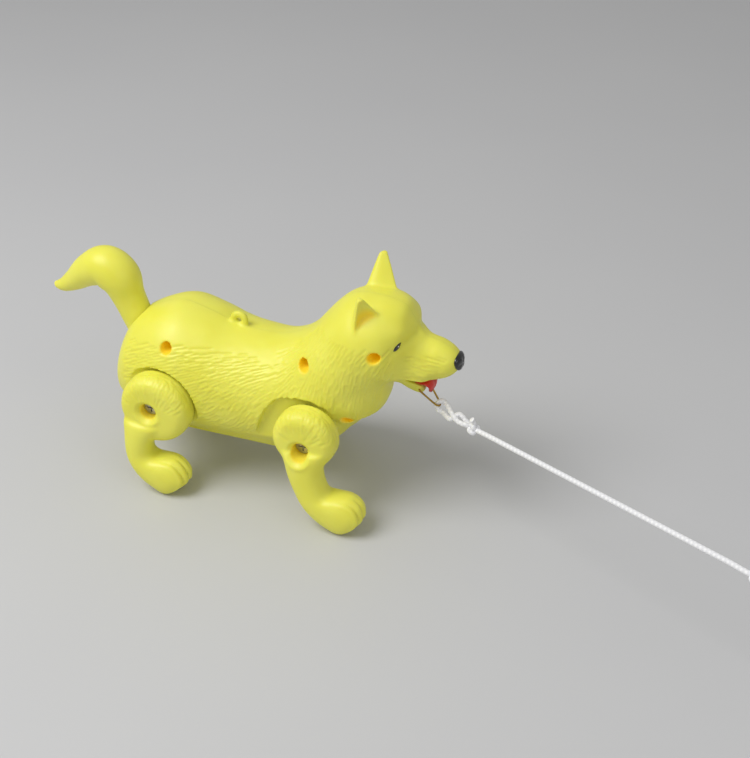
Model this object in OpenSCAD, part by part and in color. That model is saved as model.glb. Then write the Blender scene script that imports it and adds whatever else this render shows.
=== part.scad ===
/* [Body] */
// Half width of the barrel at the hips
body_half_w = 32; // [30:0.5:35]
// Height of the dip in the back
back_z = 85.5; // [83:0.5:90]
// Height of the top of the rump
rump_z = 97; // [95:0.5:99]
// Height of the belly
belly_z = 26; // [25:0.5:26.5]
// Rear end of the rump
rump_x = -75.5; // [-78:0.5:-74]
// Front of the chest
chest_x = 76; // [74:0.5:78]
// Wall of the two shells
shell_t = 2; // [1.6:0.1:2.6]
// Depth of the flat pockets that the leg discs turn in, measured from the middle
hub_y = 27.5; // [27:0.1:28]

/* [Head] */
// Height of the crown
crown_z = 120.5; // [117:0.5:124]
// Tip of the nose
nose_x = 115; // [113:0.5:118]
// Height of the nose
nose_z = 91; // [90:0.5:93]
// Half width at the cheeks
cheek_half_w = 25.5; // [24:0.5:28]
// Half width of the muzzle
muzzle_half_w = 12; // [11:0.5:13]
// Length of an ear from its root to its tip
ear_len = 21.5; // [19:0.5:24]
// Half width of an ear at its root
ear_half_w = 10; // [8:0.5:12]
// Gap of the open mouth
mouth_gap = 2.4; // [1.8:0.1:3]

/* [Legs] */
// Front leg pivot, along the body
shoulder_x = 44; // [43:0.5:45]
// Front leg pivot, height
shoulder_z = 45; // [44:0.5:47]
// Hind leg pivot, along the body
hip_x = -42; // [-43:0.5:-41]
// Hind leg pivot, height
hip_z = 49; // [47:0.5:51]
// Radius of the front shoulder disc
front_disc_r = 17; // [16.6:0.1:18]
// Radius of the hind thigh disc
hind_disc_r = 19.5; // [19:0.5:20.5]
// Thickness of a leg disc
disc_t = 13; // [11:0.5:15]
// Half width of a paw
paw_half_w = 9.5; // [8.5:0.5:11]
// Angle that the front leg leans forward at rest, at the end of its swing
front_lean = 24.4; // [23:0.2:25]
// Angle that the hind leg leans forward at rest
hind_lean = 7; // [4:0.5:9]
// Angle that the left hind leg leans back at rest
hind_back = 11.5; // [11:0.5:12]
// Swing of a hind leg each way from upright
hind_swing = 12; // [10:1:14]

/* [Drive] */
// Gear module
gear_module = 0.5; // [0.5]
// Teeth of the motor pinion
pinion_teeth = 8; // [8]
// Teeth of each small gear
small_teeth = 10; // [10]
// Teeth of the first large gear
first_teeth = 34; // [32:1:34]
// Teeth of the second large gear
second_teeth = 40; // [36:1:40]
// Teeth of the crank gear
crank_teeth = 44; // [40:1:44]
// Face width of a gear
gear_w = 2.4; // [2:0.1:2.6]
// Height of the crank shaft above the front leg pivot
crank_d = 11; // [10.9:0.05:11.1]
// Throw of the crank pins
crank_throw = 5.95; // [5.95:0.05:6.1]
// Radius of the crank pins
crank_pin_r = 1.4; // [1.2:0.1:1.6]
// Radius of the gear pins
pin_r = 1; // [0.8:0.1:1.1]
// Radius of the crank shaft
crank_shaft_r = 1.5; // [1.2:0.1:1.8]
// Radius of the motor shaft
motor_shaft_r = 1; // [0.8:0.1:1]
// Radius of the motor can
motor_r = 10; // [9.5:0.1:10.2]
// Distance across the flats of the motor can
motor_flat = 15; // [14:0.2:15.4]
// Room behind the motor can for its cap
motor_cap_room = 1.8; // [1.8:0.1:2.4]
// Half width of the gear frame over its two plates
frame_half_w = 19; // [18.5:0.1:19.4]
// Thickness of a gear frame plate
plate_t = 1.8; // [1.4:0.1:2]

/* [Power] */
// Radius of a cell
cell_r = 7.1; // [6.9:0.1:7.3]
// Length of a cell
cell_len = 50; // [48:0.5:51]
// Wall of the battery tray
tray_t = 1.6; // [1.2:0.1:2]
// Thickness of the battery cover
cover_t = 2; // [1.6:0.1:2.4]
// Travel of the switch knob
knob_travel = 4; // [3:0.5:5]

/* [Fasteners] */
// Radius of a screw's thread
screw_r = 1.3; // [1.1:0.1:1.4]
// Radius of a screw's head
head_r = 2.6; // [2.4:0.1:2.8]
// Radius of the screw holes in the skin
recess_r = 3.3; // [3:0.1:3.6]
// Radius of the posts that the legs turn on
post_r = 3; // [2.6:0.1:3.2]
// Radius of the screw holes in the legs
leg_recess_r = 4.3; // [4:0.1:4.6]

/* [Tail and eyelet] */
// Radius of the tail where it plugs in
tail_root_r = 8.6; // [8:0.2:9]
// Radius of the tail's spigot
spigot_r = 4; // [3:0.5:5]
// Radius of the eyelet ring on the back, at the middle of its section
eyelet_r = 3; // [2.6:0.1:3.4]

/* [Leash] */
// Diameter of the cord
cord_d = 2.6; // [2.2:0.1:2.8]
// Diameter of the steel bail wire
wire_d = 1; // [0.8:0.1:1.2]

/* [Fits] */
// Radial clearance of turning fits
run_fit = 0.06; // [0.04:0.01:0.1]
// Clearance between pieces that pass each other
part_gap = 0.3; // [0.2:0.05:0.4]

/* [Hidden] */
$fn = 48;

// Colours of the materials
skin_yellow = "#f2ea2e";
tongue_red = "#d2231e";
frame_white = "#e6e6e0";
gear_white = "#f3f0e2";
tray_black = "#2b2b2d";
steel = "#b9bcc0";
cord_white = "#f5f5f2";

// Spline through a list of stations, k steps to each span
function spline_point(a, b, c, d, t) =
  0.5 * (2 * b + (c - a) * t + (2 * a - 5 * b + 4 * c - d) * t * t + (3 * b - a - 3 * c + d) * t * t * t);
function refine(list, k) = let (last = len(list) - 1) [
  for (i = [0 : last - 1])
    for (j = [0 : k - 1])
      spline_point(list[max(i - 1, 0)], list[i], list[i + 1], list[min(i + 2, last)], j / k),
  list[last]
];

// Rounded section between a low point and a high point of the side outline.
// A station holds low x, low z, high x, high z, half width, height of the widest place
// as a share of the chord, and the squareness of the lower and of the upper half.
function bulge(v, e) = sign(v) * pow(abs(v), e);
function section_point(s, a) = let (
    v = sin(a),
    e = v < 0 ? s[6] : s[7],
    t = s[5] + bulge(v, e) * (v < 0 ? s[5] : 1 - s[5])
  ) [s[0] + (s[2] - s[0]) * t, -s[4] * pow(max(cos(a), 0), e), s[1] + (s[3] - s[1]) * t];
function half_section(s, n) = [for (j = [0 : n]) section_point(s, -90 + 180 * j / n)];

// Skin between rings of points, closed at both ends
function ring_sides(m, n, last) = [
  for (i = [0 : m - 2])
    for (j = [0 : last])
      each [
        [i * n + j, i * n + (j + 1) % n, (i + 1) * n + (j + 1) % n],
        [i * n + j, (i + 1) * n + (j + 1) % n, (i + 1) * n + j]
      ]
];
function ring_caps(m, n) = [
  [for (j = [n - 1 : -1 : 0]) j],
  [for (j = [0 : n - 1]) (m - 1) * n + j]
];
module loft(rings) {
  m = len(rings);
  n = len(rings[0]);
  polyhedron([for (r = rings) each r], concat(ring_sides(m, n, n - 1), ring_caps(m, n)), 12);
}
module half_loft(rings) {
  m = len(rings);
  n = len(rings[0]);
  middle = [
    for (i = [0 : m - 2])
      each [
        [i * n, (i + 1) * n, (i + 1) * n + n - 1],
        [i * n, (i + 1) * n + n - 1, i * n + n - 1]
      ]
  ];
  polyhedron([for (r = rings) each r], concat(ring_sides(m, n, n - 2), ring_caps(m, n), middle), 12);
}

// Round tube along a path that stays in one plane square to the side vector
function unit(v) = v / norm(v);
function heading(path, i) = unit(path[min(i + 1, len(path) - 1)] - path[max(i - 1, 0)]);
function circle_ring(c, along, side, r, n) = let (up = cross(side, along)) [
  for (j = [0 : n - 1]) c + r * (sin(360 * j / n - 90) * up + cos(360 * j / n - 90) * side)
];
module tube(path, radii, side, n) {
  loft([for (i = [0 : len(path) - 1]) circle_ring(path[i], heading(path, i), side, radii[i], n)]);
}

// Cylinder, plate and block helpers, all in the side view's own axes
module rod_y(x, z, r, y0, y1) {
  translate([x, y1, z])
    rotate([90, 0, 0])
      cylinder(r = r, h = y1 - y0);
}
module plate_y(y0, y1) {
  translate([0, y1, 0])
    rotate([90, 0, 0])
      linear_extrude(y1 - y0)
        children();
}
module block(x0, x1, y0, y1, z0, z1) {
  translate([x0, y0, z0])
    cube([x1 - x0, y1 - y0, z1 - z0]);
}

// Side outline of the body and head, from the rump to the nose
body_stations = [
  [rump_x, 41, rump_x, 53, 5, 0.5, 1, 1],
  [rump_x + 2, belly_z + 9.5, rump_x + 2.5, 64, 14, 0.5, 1, 1],
  [rump_x + 6, belly_z + 8, rump_x + 7.5, rump_z - 20, 21, 0.5, 0.95, 1],
  [rump_x + 13.5, belly_z + 5, rump_x + 14, rump_z - 11.5, body_half_w - 5.5, 0.5, 0.92, 0.96],
  [rump_x + 25.5, belly_z + 2.5, rump_x + 25.5, rump_z - 4.5, body_half_w - 2, 0.5, 0.92, 0.92],
  [rump_x + 40.5, belly_z + 1, rump_x + 39.5, rump_z, body_half_w, 0.5, 0.92, 0.92],
  [-20, belly_z + 0.5, -21, rump_z - 3.2, body_half_w, 0.48, 0.92, 0.92],
  [-5, belly_z, -6, back_z + 3.3, body_half_w - 1, 0.48, 0.92, 0.92],
  [10, belly_z, 8, back_z + 1, body_half_w - 2, 0.48, 0.92, 0.95],
  [25, belly_z + 0.5, 20, back_z, body_half_w - 2.5, 0.48, 0.92, 1],
  [40, belly_z + 2.5, 30, back_z + 3, body_half_w - 3, 0.48, 0.95, 1],
  [chest_x - 23, 34.5, 38, 94.5, body_half_w - 3.5, 0.5, 1, 1],
  [chest_x - 12, 44, 45, 103, body_half_w - 4, 0.5, 1, 1],
  [chest_x - 4.5, 54, 51, 110, cheek_half_w + 2, 0.52, 1, 1],
  [chest_x - 0.5, 63, 57, crown_z - 5, cheek_half_w + 1.5, 0.54, 1, 1],
  [chest_x + 2, 70, 64, crown_z - 1, cheek_half_w + 1, 0.54, 1, 1],
  [chest_x + 4, 73, 72, crown_z + 0.5, cheek_half_w, 0.52, 1, 0.95],
  [nose_x - 32.5, 73.5, 80, crown_z, cheek_half_w - 2.5, 0.5, 1, 0.9],
  [nose_x - 30, 73, nose_x - 28, crown_z - 2.5, cheek_half_w - 6.5, 0.5, 1, 0.9],
  [nose_x - 27, 72, nose_x - 22.5, crown_z - 8.5, muzzle_half_w + 3, 0.5, 1, 0.9],
  [nose_x - 24, 71.3, nose_x - 19, crown_z - 14.5, muzzle_half_w + 1, 0.5, 1, 0.9],
  [nose_x - 21, 71, nose_x - 16, nose_z + 10.5, muzzle_half_w, 0.5, 1, 0.9],
  [nose_x - 18.5, 71.5, nose_x - 13, nose_z + 9, muzzle_half_w - 0.5, 0.5, 1, 0.9],
  [nose_x - 15, 76.5, nose_x - 10.5, nose_z + 8.2, muzzle_half_w - 1, 0.5, 1, 0.9],
  [nose_x - 10.5, 79.5, nose_x - 7.5, nose_z + 7.3, muzzle_half_w - 2, 0.5, 1, 0.9],
  [nose_x - 6, 81.5, nose_x - 4.5, nose_z + 6, muzzle_half_w - 3.2, 0.5, 1, 0.95],
  [nose_x - 2.5, 84.5, nose_x - 2, nose_z + 4, muzzle_half_w - 5.5, 0.5, 1, 1],
  [nose_x, 88.5, nose_x, nose_z + 2, 3, 0.5, 1, 1]
];
body_rings = refine(body_stations, 2);
section_steps = 12;

// Hollow of the body: the same rings drawn in by the wall, between the rump and the muzzle
hollow_first = 3;
hollow_last = 36;
split_overlap = 1;
function inward(list, i, k) = let (
    d = unit([list[i + 1][k] - list[i - 1][k], list[i + 1][k + 1] - list[i - 1][k + 1]])
  ) k == 0 ? [-d[1], d[0]] : [d[1], -d[0]];
function drawn_in(list, i) = let (
    a = inward(list, i, 0) * shell_t,
    b = inward(list, i, 2) * shell_t,
    s = list[i]
  ) [s[0] + a[0], s[1] + a[1], s[2] + b[0], s[3] + b[1], s[4] - shell_t, s[5], s[6], s[7]];
hollow_rings = [
  for (i = [hollow_first : hollow_last])
    let (h = half_section(drawn_in(body_rings, i), section_steps))
      concat([h[0] + [0, split_overlap, 0]], h, [h[section_steps] + [0, split_overlap, 0]])
];

// Leg poses: at rest one front leg is at the front end of its swing, the other at the back end
front_swing = asin(crank_throw / crank_d);
ball_x = shoulder_x + shoulder_z * tan(front_lean);
heel_x = hip_x + hip_z * tan(hind_lean);
leg_y = hub_y + 0.7;
web_t = 4.8;
seat_y = leg_y + web_t;
disc_rise = 5;
disc_round = 6;
limb_y = leg_y + disc_t / 2 + 3.3;

// Gear centres in the side view, from the crank back to the motor
train_tilt = 9.5;
crank_c = [shoulder_x, shoulder_z + crank_d];
train_dir = [-cos(train_tilt), sin(train_tilt)];
second_c = crank_c + train_dir * (crank_teeth + small_teeth) * gear_module / 2;
first_c = second_c + train_dir * (second_teeth + small_teeth) * gear_module / 2;
motor_c = first_c + train_dir * (first_teeth + pinion_teeth) * gear_module / 2;
frame_inner = frame_half_w - plate_t;
pinion_set_off = 1.6;
boss_room = 0.9;
gear_room = pinion_set_off + 2 * gear_w + part_gap + boss_room;
motor_front = frame_inner - gear_room;
motor_back = motor_cap_room - frame_inner;
layer_a = motor_front + pinion_set_off;
layer_b = layer_a + gear_w + part_gap;
crank_t = 3;
crank_y = frame_half_w + 1;
crank_r = crank_throw + crank_pin_r + 1;
pin_back = crank_throw * cos(front_swing);
pin_drop = crank_throw * sin(front_swing);
pin_end = leg_y - part_gap;
slot_depth = 3;
spacer_r = 2.4;
spacers = [
  motor_c + [-motor_flat / 2 - 4, 0],
  first_c + [5.2, first_teeth * gear_module / 2 + 2.2],
  crank_c + [7.5, crank_teeth * gear_module / 2 + 1.6],
  first_c + [-4.4, -first_teeth * gear_module / 2 - 3.2]
];

// Battery bay in the belly
cell_gap = 0.4;
contact_room = 2.5;
tray_x1 = cell_len / 2 + contact_room + tray_t;
screw_bay = 8;
tray_x0 = -tray_x1 - screw_bay;
tray_half_w = 2 * cell_r + cell_gap + tray_t;
cover_z = belly_z + 0.8;
tray_z0 = cover_z + cover_t;
cell_z = tray_z0 + cell_gap + cell_r;
tray_z1 = cell_z + cell_r + cell_gap + tray_t;
cover_screw_x = -tray_x1 - screw_bay / 2;
rib_t = 2;
tray_ear_x = [-tray_x1 + 5, 3];
tray_ear_len = 6;
tray_ear_w = 4;
tray_ear_z = tray_z0 + 9;

// Slide switch behind the battery bay
switch_x = tray_x0 - 11;
switch_z = belly_z + 7.5;
switch_len = 12;
switch_half_w = 3.5;
switch_h = 5;
knob_len = 4;
knob_half_w = 1.5;
knob_x = switch_x - knob_travel / 2;

// Screws through the skin: place in the side view
body_screw_places = [[-35, 82], [40, 85], [78, 98.5], [63, 57]];
screw_seat_y = 8;
screw_len = 14;
leg_screw_len = 9;
head_h = 2;
boss_r = recess_r + 1.2;

// Jaw and mouth
jaw_x = nose_x - 18.5;
bail_x = nose_x - 21;
bail_z = 73.4;
mouth_z = 77;
eyelet_x = -5;
eyelet_wire_r = 1.9;

// Tail seat in the rump
tail_seat = [rump_x + 13, 0, rump_z - 20.5];
tail_tilt = -30;
plug_len = 8;
spigot_len = 8;

// Ear in the head's own place: root, direction of growth, direction across the root
ear_root = [72.5, -17.5, crown_z - 10];
ear_up = unit([-4, -3.4, 19]);
ear_back = unit(cross(ear_up, [11, 10, 6.5]));
ear_across = cross(ear_back, ear_up);
ear_sink = 5;
ear_bulge = 8;
ear_t = 2.6;
ear_rings = [
  for (k = [0 : 7])
    let (
      s = k / 7,
      grow = s * (ear_len + ear_sink) - ear_sink,
      w = ear_half_w * pow(1.03 - s, 0.8) + 0.6,
      b = ear_bulge * (1 - 0.85 * s)
    ) [
      for (j = [0 : 13])
        let (
          a = 360 * j / 14 - 90,
          u = sin(a),
          v = cos(a)
        ) ear_root + ear_up * grow + ear_across * w * u
          + ear_back * ((v > 0 ? 1 : 0.4) * b * (1 - u * u) + ear_t * v / 2)
    ]
];

// Stop pins of the hind legs
stop_r = 13;
stop_pin_r = 1.4;
stop_depth = 3;

// Pockets for the leg discs
hind_pocket_r = hind_disc_r + 1.5;
hind_disc_c = [hip_x + 2.5, hip_z + 0.4];
front_disc_c = [shoulder_x + 0.8, shoulder_z + disc_rise];
pocket_back = shoulder_x - 26;
pocket_top = shoulder_z + 25;
pocket_round = 12;
outside = 60;
module front_pocket(y0, y1, grow) {
  block(pocket_back + pocket_round, chest_x + 4, y0, y1, 0, pocket_top + grow);
  block(pocket_back - grow, pocket_back + pocket_round + 1, y0, y1, 0, pocket_top - pocket_round);
  rod_y(pocket_back + pocket_round, pocket_top - pocket_round, pocket_round + grow, y0, y1);
}
module hind_pocket(y0, y1, grow) {
  rod_y(hind_disc_c[0], hind_disc_c[1], hind_pocket_r + grow, y0, y1);
}

// What stands inside the hollow of one half: pocket floors, bosses, pads and ribs
module inside_supports() {
  front_pocket(-outside, shell_t - hub_y, shell_t);
  hind_pocket(-outside, shell_t - hub_y, shell_t);
  for (p = body_screw_places)
    rod_y(p[0], p[1], boss_r, -outside, 0);
  for (p = [spacers[0], spacers[1]])
    difference() {
      rod_y(p[0], p[1], spacer_r + 2, -outside, -frame_half_w - 0.02);
      rod_y(p[0], p[1], head_r + 0.2, -frame_half_w - 1.4, 0);
    }
  for (x = tray_ear_x) {
    block(x + 2, x + 2 + rib_t, -outside, -tray_half_w / 2, tray_z1 + part_gap, tray_z1 + part_gap + rib_t);
    block(x, x + tray_ear_len, -outside, -tray_half_w - 2 * part_gap, tray_ear_z - part_gap - rib_t,
      tray_ear_z - part_gap);
  }
  rod_y(hip_x, hip_z, post_r + 1, -outside, 6 - hub_y);
  rod_y(shoulder_x, shoulder_z, post_r + 0.8, -outside, 3.5 - hub_y);
  tail_frame() translate([0, 0, -spigot_len - 3]) cylinder(r = tail_root_r + shell_t, h = 28);
  for (x = [switch_x - switch_len / 2 - rib_t - part_gap, switch_x + switch_len / 2 + part_gap])
    block(x, x + rib_t, -switch_half_w - 2, 0, 0, switch_z + switch_h);
  block(switch_x - switch_len / 2, switch_x + switch_len / 2, -switch_half_w - 2, 0, 0, switch_z);
}
module tail_frame() {
  translate(tail_seat)
    rotate([0, tail_tilt, 0])
      children();
}
module eyelet_half() {
  translate([eyelet_x, 0, back_z + 3.4])
    rotate([90, 0, 0])
      rotate_extrude()
        translate([eyelet_r, 0])
          intersection() {
            circle(eyelet_wire_r);
            translate([-eyelet_wire_r, 0])
              square(2 * eyelet_wire_r);
          }
}
module mouth_cut() {
  plate_y(-outside, split_overlap)
    polygon([
      [nose_x - 29, mouth_z + 1.6],
      [nose_x - 25, mouth_z + mouth_gap],
      [nose_x - 10, mouth_z + mouth_gap + 0.6],
      [nose_x - 10, mouth_z - 8],
      [jaw_x + 1, mouth_z - 8],
      [jaw_x + 0.6, mouth_z - 1.5],
      [jaw_x - 3, mouth_z]
    ]);
}

// One half of the body and head, drawn as the right one. The right half has the sunk
// screw holes, and the left half the holes that the threads bite in.
module body_half(screw_heads) {
  difference() {
    union() {
      difference() {
        union() {
          half_loft([for (s = body_rings) half_section(s, section_steps)]);
          loft(ear_rings);
          eyelet_half();
          rod_y(shoulder_x, shoulder_z + disc_rise, front_disc_r - 3, -hub_y, -12);
        }
        difference() {
          half_loft(hollow_rings);
          inside_supports();
        }
        front_pocket(-outside, -hub_y, 0);
        hind_pocket(-outside, -hub_y, 0);
      }
      rod_y(shoulder_x, shoulder_z, post_r, -seat_y - part_gap, 1 - hub_y);
      rod_y(hip_x, hip_z, post_r, -seat_y - part_gap, 1 - hub_y);
      rod_y(hip_x, hip_z + stop_r, stop_pin_r, -leg_y - stop_depth + part_gap, 1 - hub_y);
    }
    for (p = [[shoulder_x, shoulder_z], [hip_x, hip_z]])
      rod_y(p[0], p[1], screw_r + run_fit, -outside, -seat_y + leg_screw_len);
    rod_y(crank_c[0], crank_c[1], crank_throw + crank_pin_r + part_gap, -outside, -crank_y - 1);
    rod_y(crank_c[0], crank_c[1], crank_r + part_gap, -crank_y - crank_t - part_gap, -crank_y + part_gap);
    for (p = body_screw_places) {
      if (screw_heads)
        rod_y(p[0], p[1], recess_r, -outside, -screw_seat_y);
      rod_y(p[0], p[1], screw_r + run_fit, screw_heads ? -outside : screw_seat_y - screw_len, split_overlap);
    }
    mouth_cut();
    rod_y(bail_x, bail_z, wire_d / 2 + run_fit, -outside, split_overlap);
    block(tray_x0 - part_gap, tray_x1 + part_gap, -tray_half_w - part_gap, split_overlap, 0, tray_z1);
    block(knob_x - knob_len / 2 - part_gap, knob_x + knob_len / 2 + knob_travel + part_gap,
      -knob_half_w - part_gap, split_overlap, 0, switch_z + 1);
    tail_frame() cylinder(r = tail_root_r + part_gap / 3, h = outside);
    tail_frame() translate([0, 0, -spigot_len - 1]) cylinder(r = spigot_r + run_fit, h = outside);
  }
}

// Outline of an involute gear with a tooth on the +x side
pressure = 20;
function roll_angle(a) = tan(a) * 180 / PI - a;
function tooth_half(z, r, slack) = let (
    pitch = gear_module * z / 2,
    base = pitch * cos(pressure)
  ) 90 / z - slack / pitch * 90 / PI + roll_angle(pressure)
    - (r > base ? roll_angle(acos(base / r)) : 0);
module gear_outline(z, slack) {
  pitch = gear_module * z / 2;
  root = pitch - 0.9 * gear_module;
  foot = max(root + 0.02, pitch * cos(pressure));
  tip = pitch + 0.6 * gear_module;
  radii = concat([root], [for (k = [0 : 3]) foot + (tip - foot) * k / 3]);
  polygon([
    for (i = [0 : z - 1])
      each concat(
        [for (k = [0 : 4]) let (a = 360 * i / z - tooth_half(z, radii[k], slack))
          radii[k] * [cos(a), sin(a)]],
        [for (k = [4 : -1 : 0]) let (a = 360 * i / z + tooth_half(z, radii[k], slack))
          radii[k] * [cos(a), sin(a)]]
      )
  ]);
}
tooth_slack = 0.14;
module gear_y(c, z, turn, y0, y1) {
  plate_y(y0, y1)
    translate(c)
      rotate(turn)
        gear_outline(z, tooth_slack);
}

// Gear phases: each gear has a gap where the one before it has a tooth
train_angle = atan2(train_dir[1], train_dir[0]);
function facing(turn, z, toward, z_next) = let (
    lead = (toward - turn) * z / 360,
    frac = lead - floor(lead)
  ) toward + 180 + (0.5 + frac) * 360 / z_next;
crank_turn = 0;
second_small_turn = facing(crank_turn, crank_teeth, train_angle, small_teeth);
second_turn = 0;
first_small_turn = facing(second_turn, second_teeth, train_angle, small_teeth);
first_turn = 0;
pinion_turn = facing(first_turn, first_teeth, train_angle, pinion_teeth);

// Leg drawn as the right one. A station holds the rear edge, the front edge and the half width.
leg_square = 0.85;
leg_sides = 16;
function leg_ring(s) = [
  for (j = [0 : leg_sides - 1])
    let (
      a = 360 * j / leg_sides - 90,
      t = 0.5 + bulge(sin(a), leg_square) / 2
    ) [
      s[0] + (s[2] - s[0]) * t,
      -limb_y - s[4] * bulge(cos(a), leg_square),
      s[1] + (s[3] - s[1]) * t
    ]
];
front_stations = [
  [shoulder_x - 11, shoulder_z - 1, shoulder_x + 15, shoulder_z + 1, paw_half_w - 3.5],
  [shoulder_x - 9.5, shoulder_z - 6, shoulder_x + 12.5, shoulder_z - 5, paw_half_w - 2],
  [shoulder_x - 7.5, shoulder_z - 14, shoulder_x + 11.5, shoulder_z - 11.5, paw_half_w - 1.5],
  [ball_x - 24.8, 22.5, ball_x - 8.1, 27, paw_half_w - 1.2],
  [ball_x - 20.4, 13.7, ball_x - 5.6, 21.5, paw_half_w - 0.7],
  [ball_x - 14.9, 6.8, ball_x + 0.1, 21.8, paw_half_w - 0.2],
  [ball_x - 7.4, 1.5, ball_x + 6.6, 21.5, paw_half_w + 0.1],
  [ball_x, -0.6, ball_x + 11.4, 17.8, paw_half_w - 0.3],
  [ball_x + 7.6, 3.6, ball_x + 13.1, 13, paw_half_w - 2.5],
  [ball_x + 11.6, 8, ball_x + 13, 10, paw_half_w - 6.5]
];
hind_stations = [
  [hip_x - 15.5, hip_z - 7, hip_x + 8, hip_z - 9, paw_half_w - 3.5],
  [hip_x - 15, hip_z - 14, hip_x + 1.5, hip_z - 17, paw_half_w - 2],
  [hip_x - 15, hip_z - 22, hip_x - 0.2, hip_z - 22, paw_half_w - 1.5],
  [heel_x - 20.3, 20, heel_x - 6.3, 23, paw_half_w - 1.2],
  [heel_x - 17.8, 13.5, heel_x - 4, 21, paw_half_w - 0.7],
  [heel_x - 14, 7.7, heel_x + 1.5, 21.3, paw_half_w - 0.2],
  [heel_x - 8, 2.8, heel_x + 7.5, 20.8, paw_half_w + 0.1],
  [heel_x, -0.6, heel_x + 11.8, 17.2, paw_half_w - 0.3],
  [heel_x + 7.6, 3, heel_x + 14.2, 12.8, paw_half_w - 2.5],
  [heel_x + 12, 7, heel_x + 14.4, 9.6, paw_half_w - 6.5]
];
module sole_cut(x) {
  block(x - 30, x + 30, -outside, 0, -10, 0);
}
module leg_disc(c, r) {
  translate([c[0], -leg_y, c[1]])
    rotate([90, 0, 0])
      rotate_extrude() {
        square([r, disc_t - disc_round]);
        square([r - disc_round, disc_t]);
        translate([r - disc_round, disc_t - disc_round])
          intersection() {
            circle(disc_round);
            square(disc_round);
          }
      }
}
module front_leg() {
  difference() {
    union() {
      leg_disc(front_disc_c, front_disc_r);
      loft([for (s = refine(front_stations, 2)) leg_ring(s)]);
    }
    sole_cut(ball_x);
    rod_y(shoulder_x, shoulder_z, post_r + run_fit, -outside, 0);
    rod_y(shoulder_x, shoulder_z, leg_recess_r, -outside, -seat_y);
    translate([shoulder_x, 0, shoulder_z])
      rotate([0, -front_swing, 0])
        translate([-shoulder_x, 0, -shoulder_z]) {
          block(shoulder_x - crank_pin_r - 0.2, shoulder_x + crank_pin_r + 0.2, -leg_y - slot_depth, 0,
            shoulder_z + crank_d - crank_throw, shoulder_z + crank_d + crank_throw);
          rod_y(shoulder_x, shoulder_z + crank_d - crank_throw, crank_pin_r + 0.2, -leg_y - slot_depth, 0);
          rod_y(shoulder_x, shoulder_z + crank_d + crank_throw, crank_pin_r + 0.2, -leg_y - slot_depth, 0);
        }
  }
}
module hind_leg() {
  difference() {
    union() {
      leg_disc(hind_disc_c, hind_disc_r);
      loft([for (s = refine(hind_stations, 2)) leg_ring(s)]);
    }
    sole_cut(heel_x);
    rod_y(hip_x, hip_z, post_r + run_fit, -outside, 0);
    rod_y(hip_x, hip_z, leg_recess_r, -outside, -seat_y);
    stop_groove();
  }
}
module stop_groove() {
  a0 = -hind_lean - hind_swing - 8;
  a1 = -hind_lean + hind_swing + 8;
  wide = stop_pin_r + part_gap;
  plate_y(-leg_y - stop_depth - part_gap, 0)
    translate([hip_x, hip_z])
      polygon(concat(
        [for (k = [0 : 8]) let (a = a0 + (a1 - a0) * k / 8) (stop_r - wide) * [sin(a), cos(a)]],
        [for (k = [8 : -1 : 0]) let (a = a0 + (a1 - a0) * k / 8) (stop_r + wide) * [sin(a), cos(a)]]
      ));
}
module turned(x, z, angle) {
  translate([x, 0, z])
    rotate([0, angle, 0])
      translate([-x, 0, -z])
        children();
}

// Tail: a plug with a spigot, and a round stem that bends back to a point
tail_path = refine([
  [rump_x + 10, rump_z - 15.3],
  [rump_x + 5.5, rump_z - 4],
  [rump_x + 1.5, rump_z + 6],
  [rump_x - 6.5, rump_z + 11],
  [rump_x - 16.5, rump_z + 7],
  [rump_x - 25.5, rump_z],
  [rump_x - 32.5, rump_z - 4.5],
  [rump_x - 37.5, rump_z - 5.5],
  [rump_x - 39.1, rump_z - 4.5]
], 3);
tail_radii = refine([
  [tail_root_r - 0.4], [tail_root_r + 0.4], [tail_root_r + 2.7], [tail_root_r + 2.6],
  [tail_root_r + 0.4], [tail_root_r - 2.3], [tail_root_r - 4.4], [tail_root_r - 6.2], [0.8]
], 3);

// Screw along Y with its head on the low side, seat at y0
module screw_y(x, z, y0, length, head, height) {
  difference() {
    union() {
      rod_y(x, z, screw_r, y0 - 0.5, y0 + length);
      rod_y(x, z, head, y0 - height, y0);
    }
    block(x - 0.35, x + 0.35, y0 - height - 1, y0 - height + 0.8, z - head * 0.65, z + head * 0.65);
    block(x - head * 0.65, x + head * 0.65, y0 - height - 1, y0 - height + 0.8, z - 0.35, z + 0.35);
  }
}

// Gear frame
module frame_outline() {
  hull() {
    translate(crank_c) circle(7);
    translate(spacers[2]) circle(spacer_r + 1);
    translate(spacers[1]) circle(spacer_r + 1);
    translate(spacers[0]) circle(spacer_r + 1);
    translate(spacers[3]) circle(spacer_r + 1);
    translate(motor_c + [0, 6]) circle(5);
  }
}
module frame_bores() {
  for (c = [first_c, second_c])
    rod_y(c[0], c[1], pin_r, -outside, outside);
  rod_y(crank_c[0], crank_c[1], crank_shaft_r + run_fit, -outside, outside);
  for (c = spacers)
    rod_y(c[0], c[1], screw_r, -outside, outside);
}
frame_split = 4;

// Swept tube along any path that is never upright
module swept(path, r, n) {
  loft([
    for (i = [0 : len(path) - 1])
      let (along = heading(path, i))
        circle_ring(path[i], along, unit(cross(along, [0, 0, 1])), r, n)
  ]);
}

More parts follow.
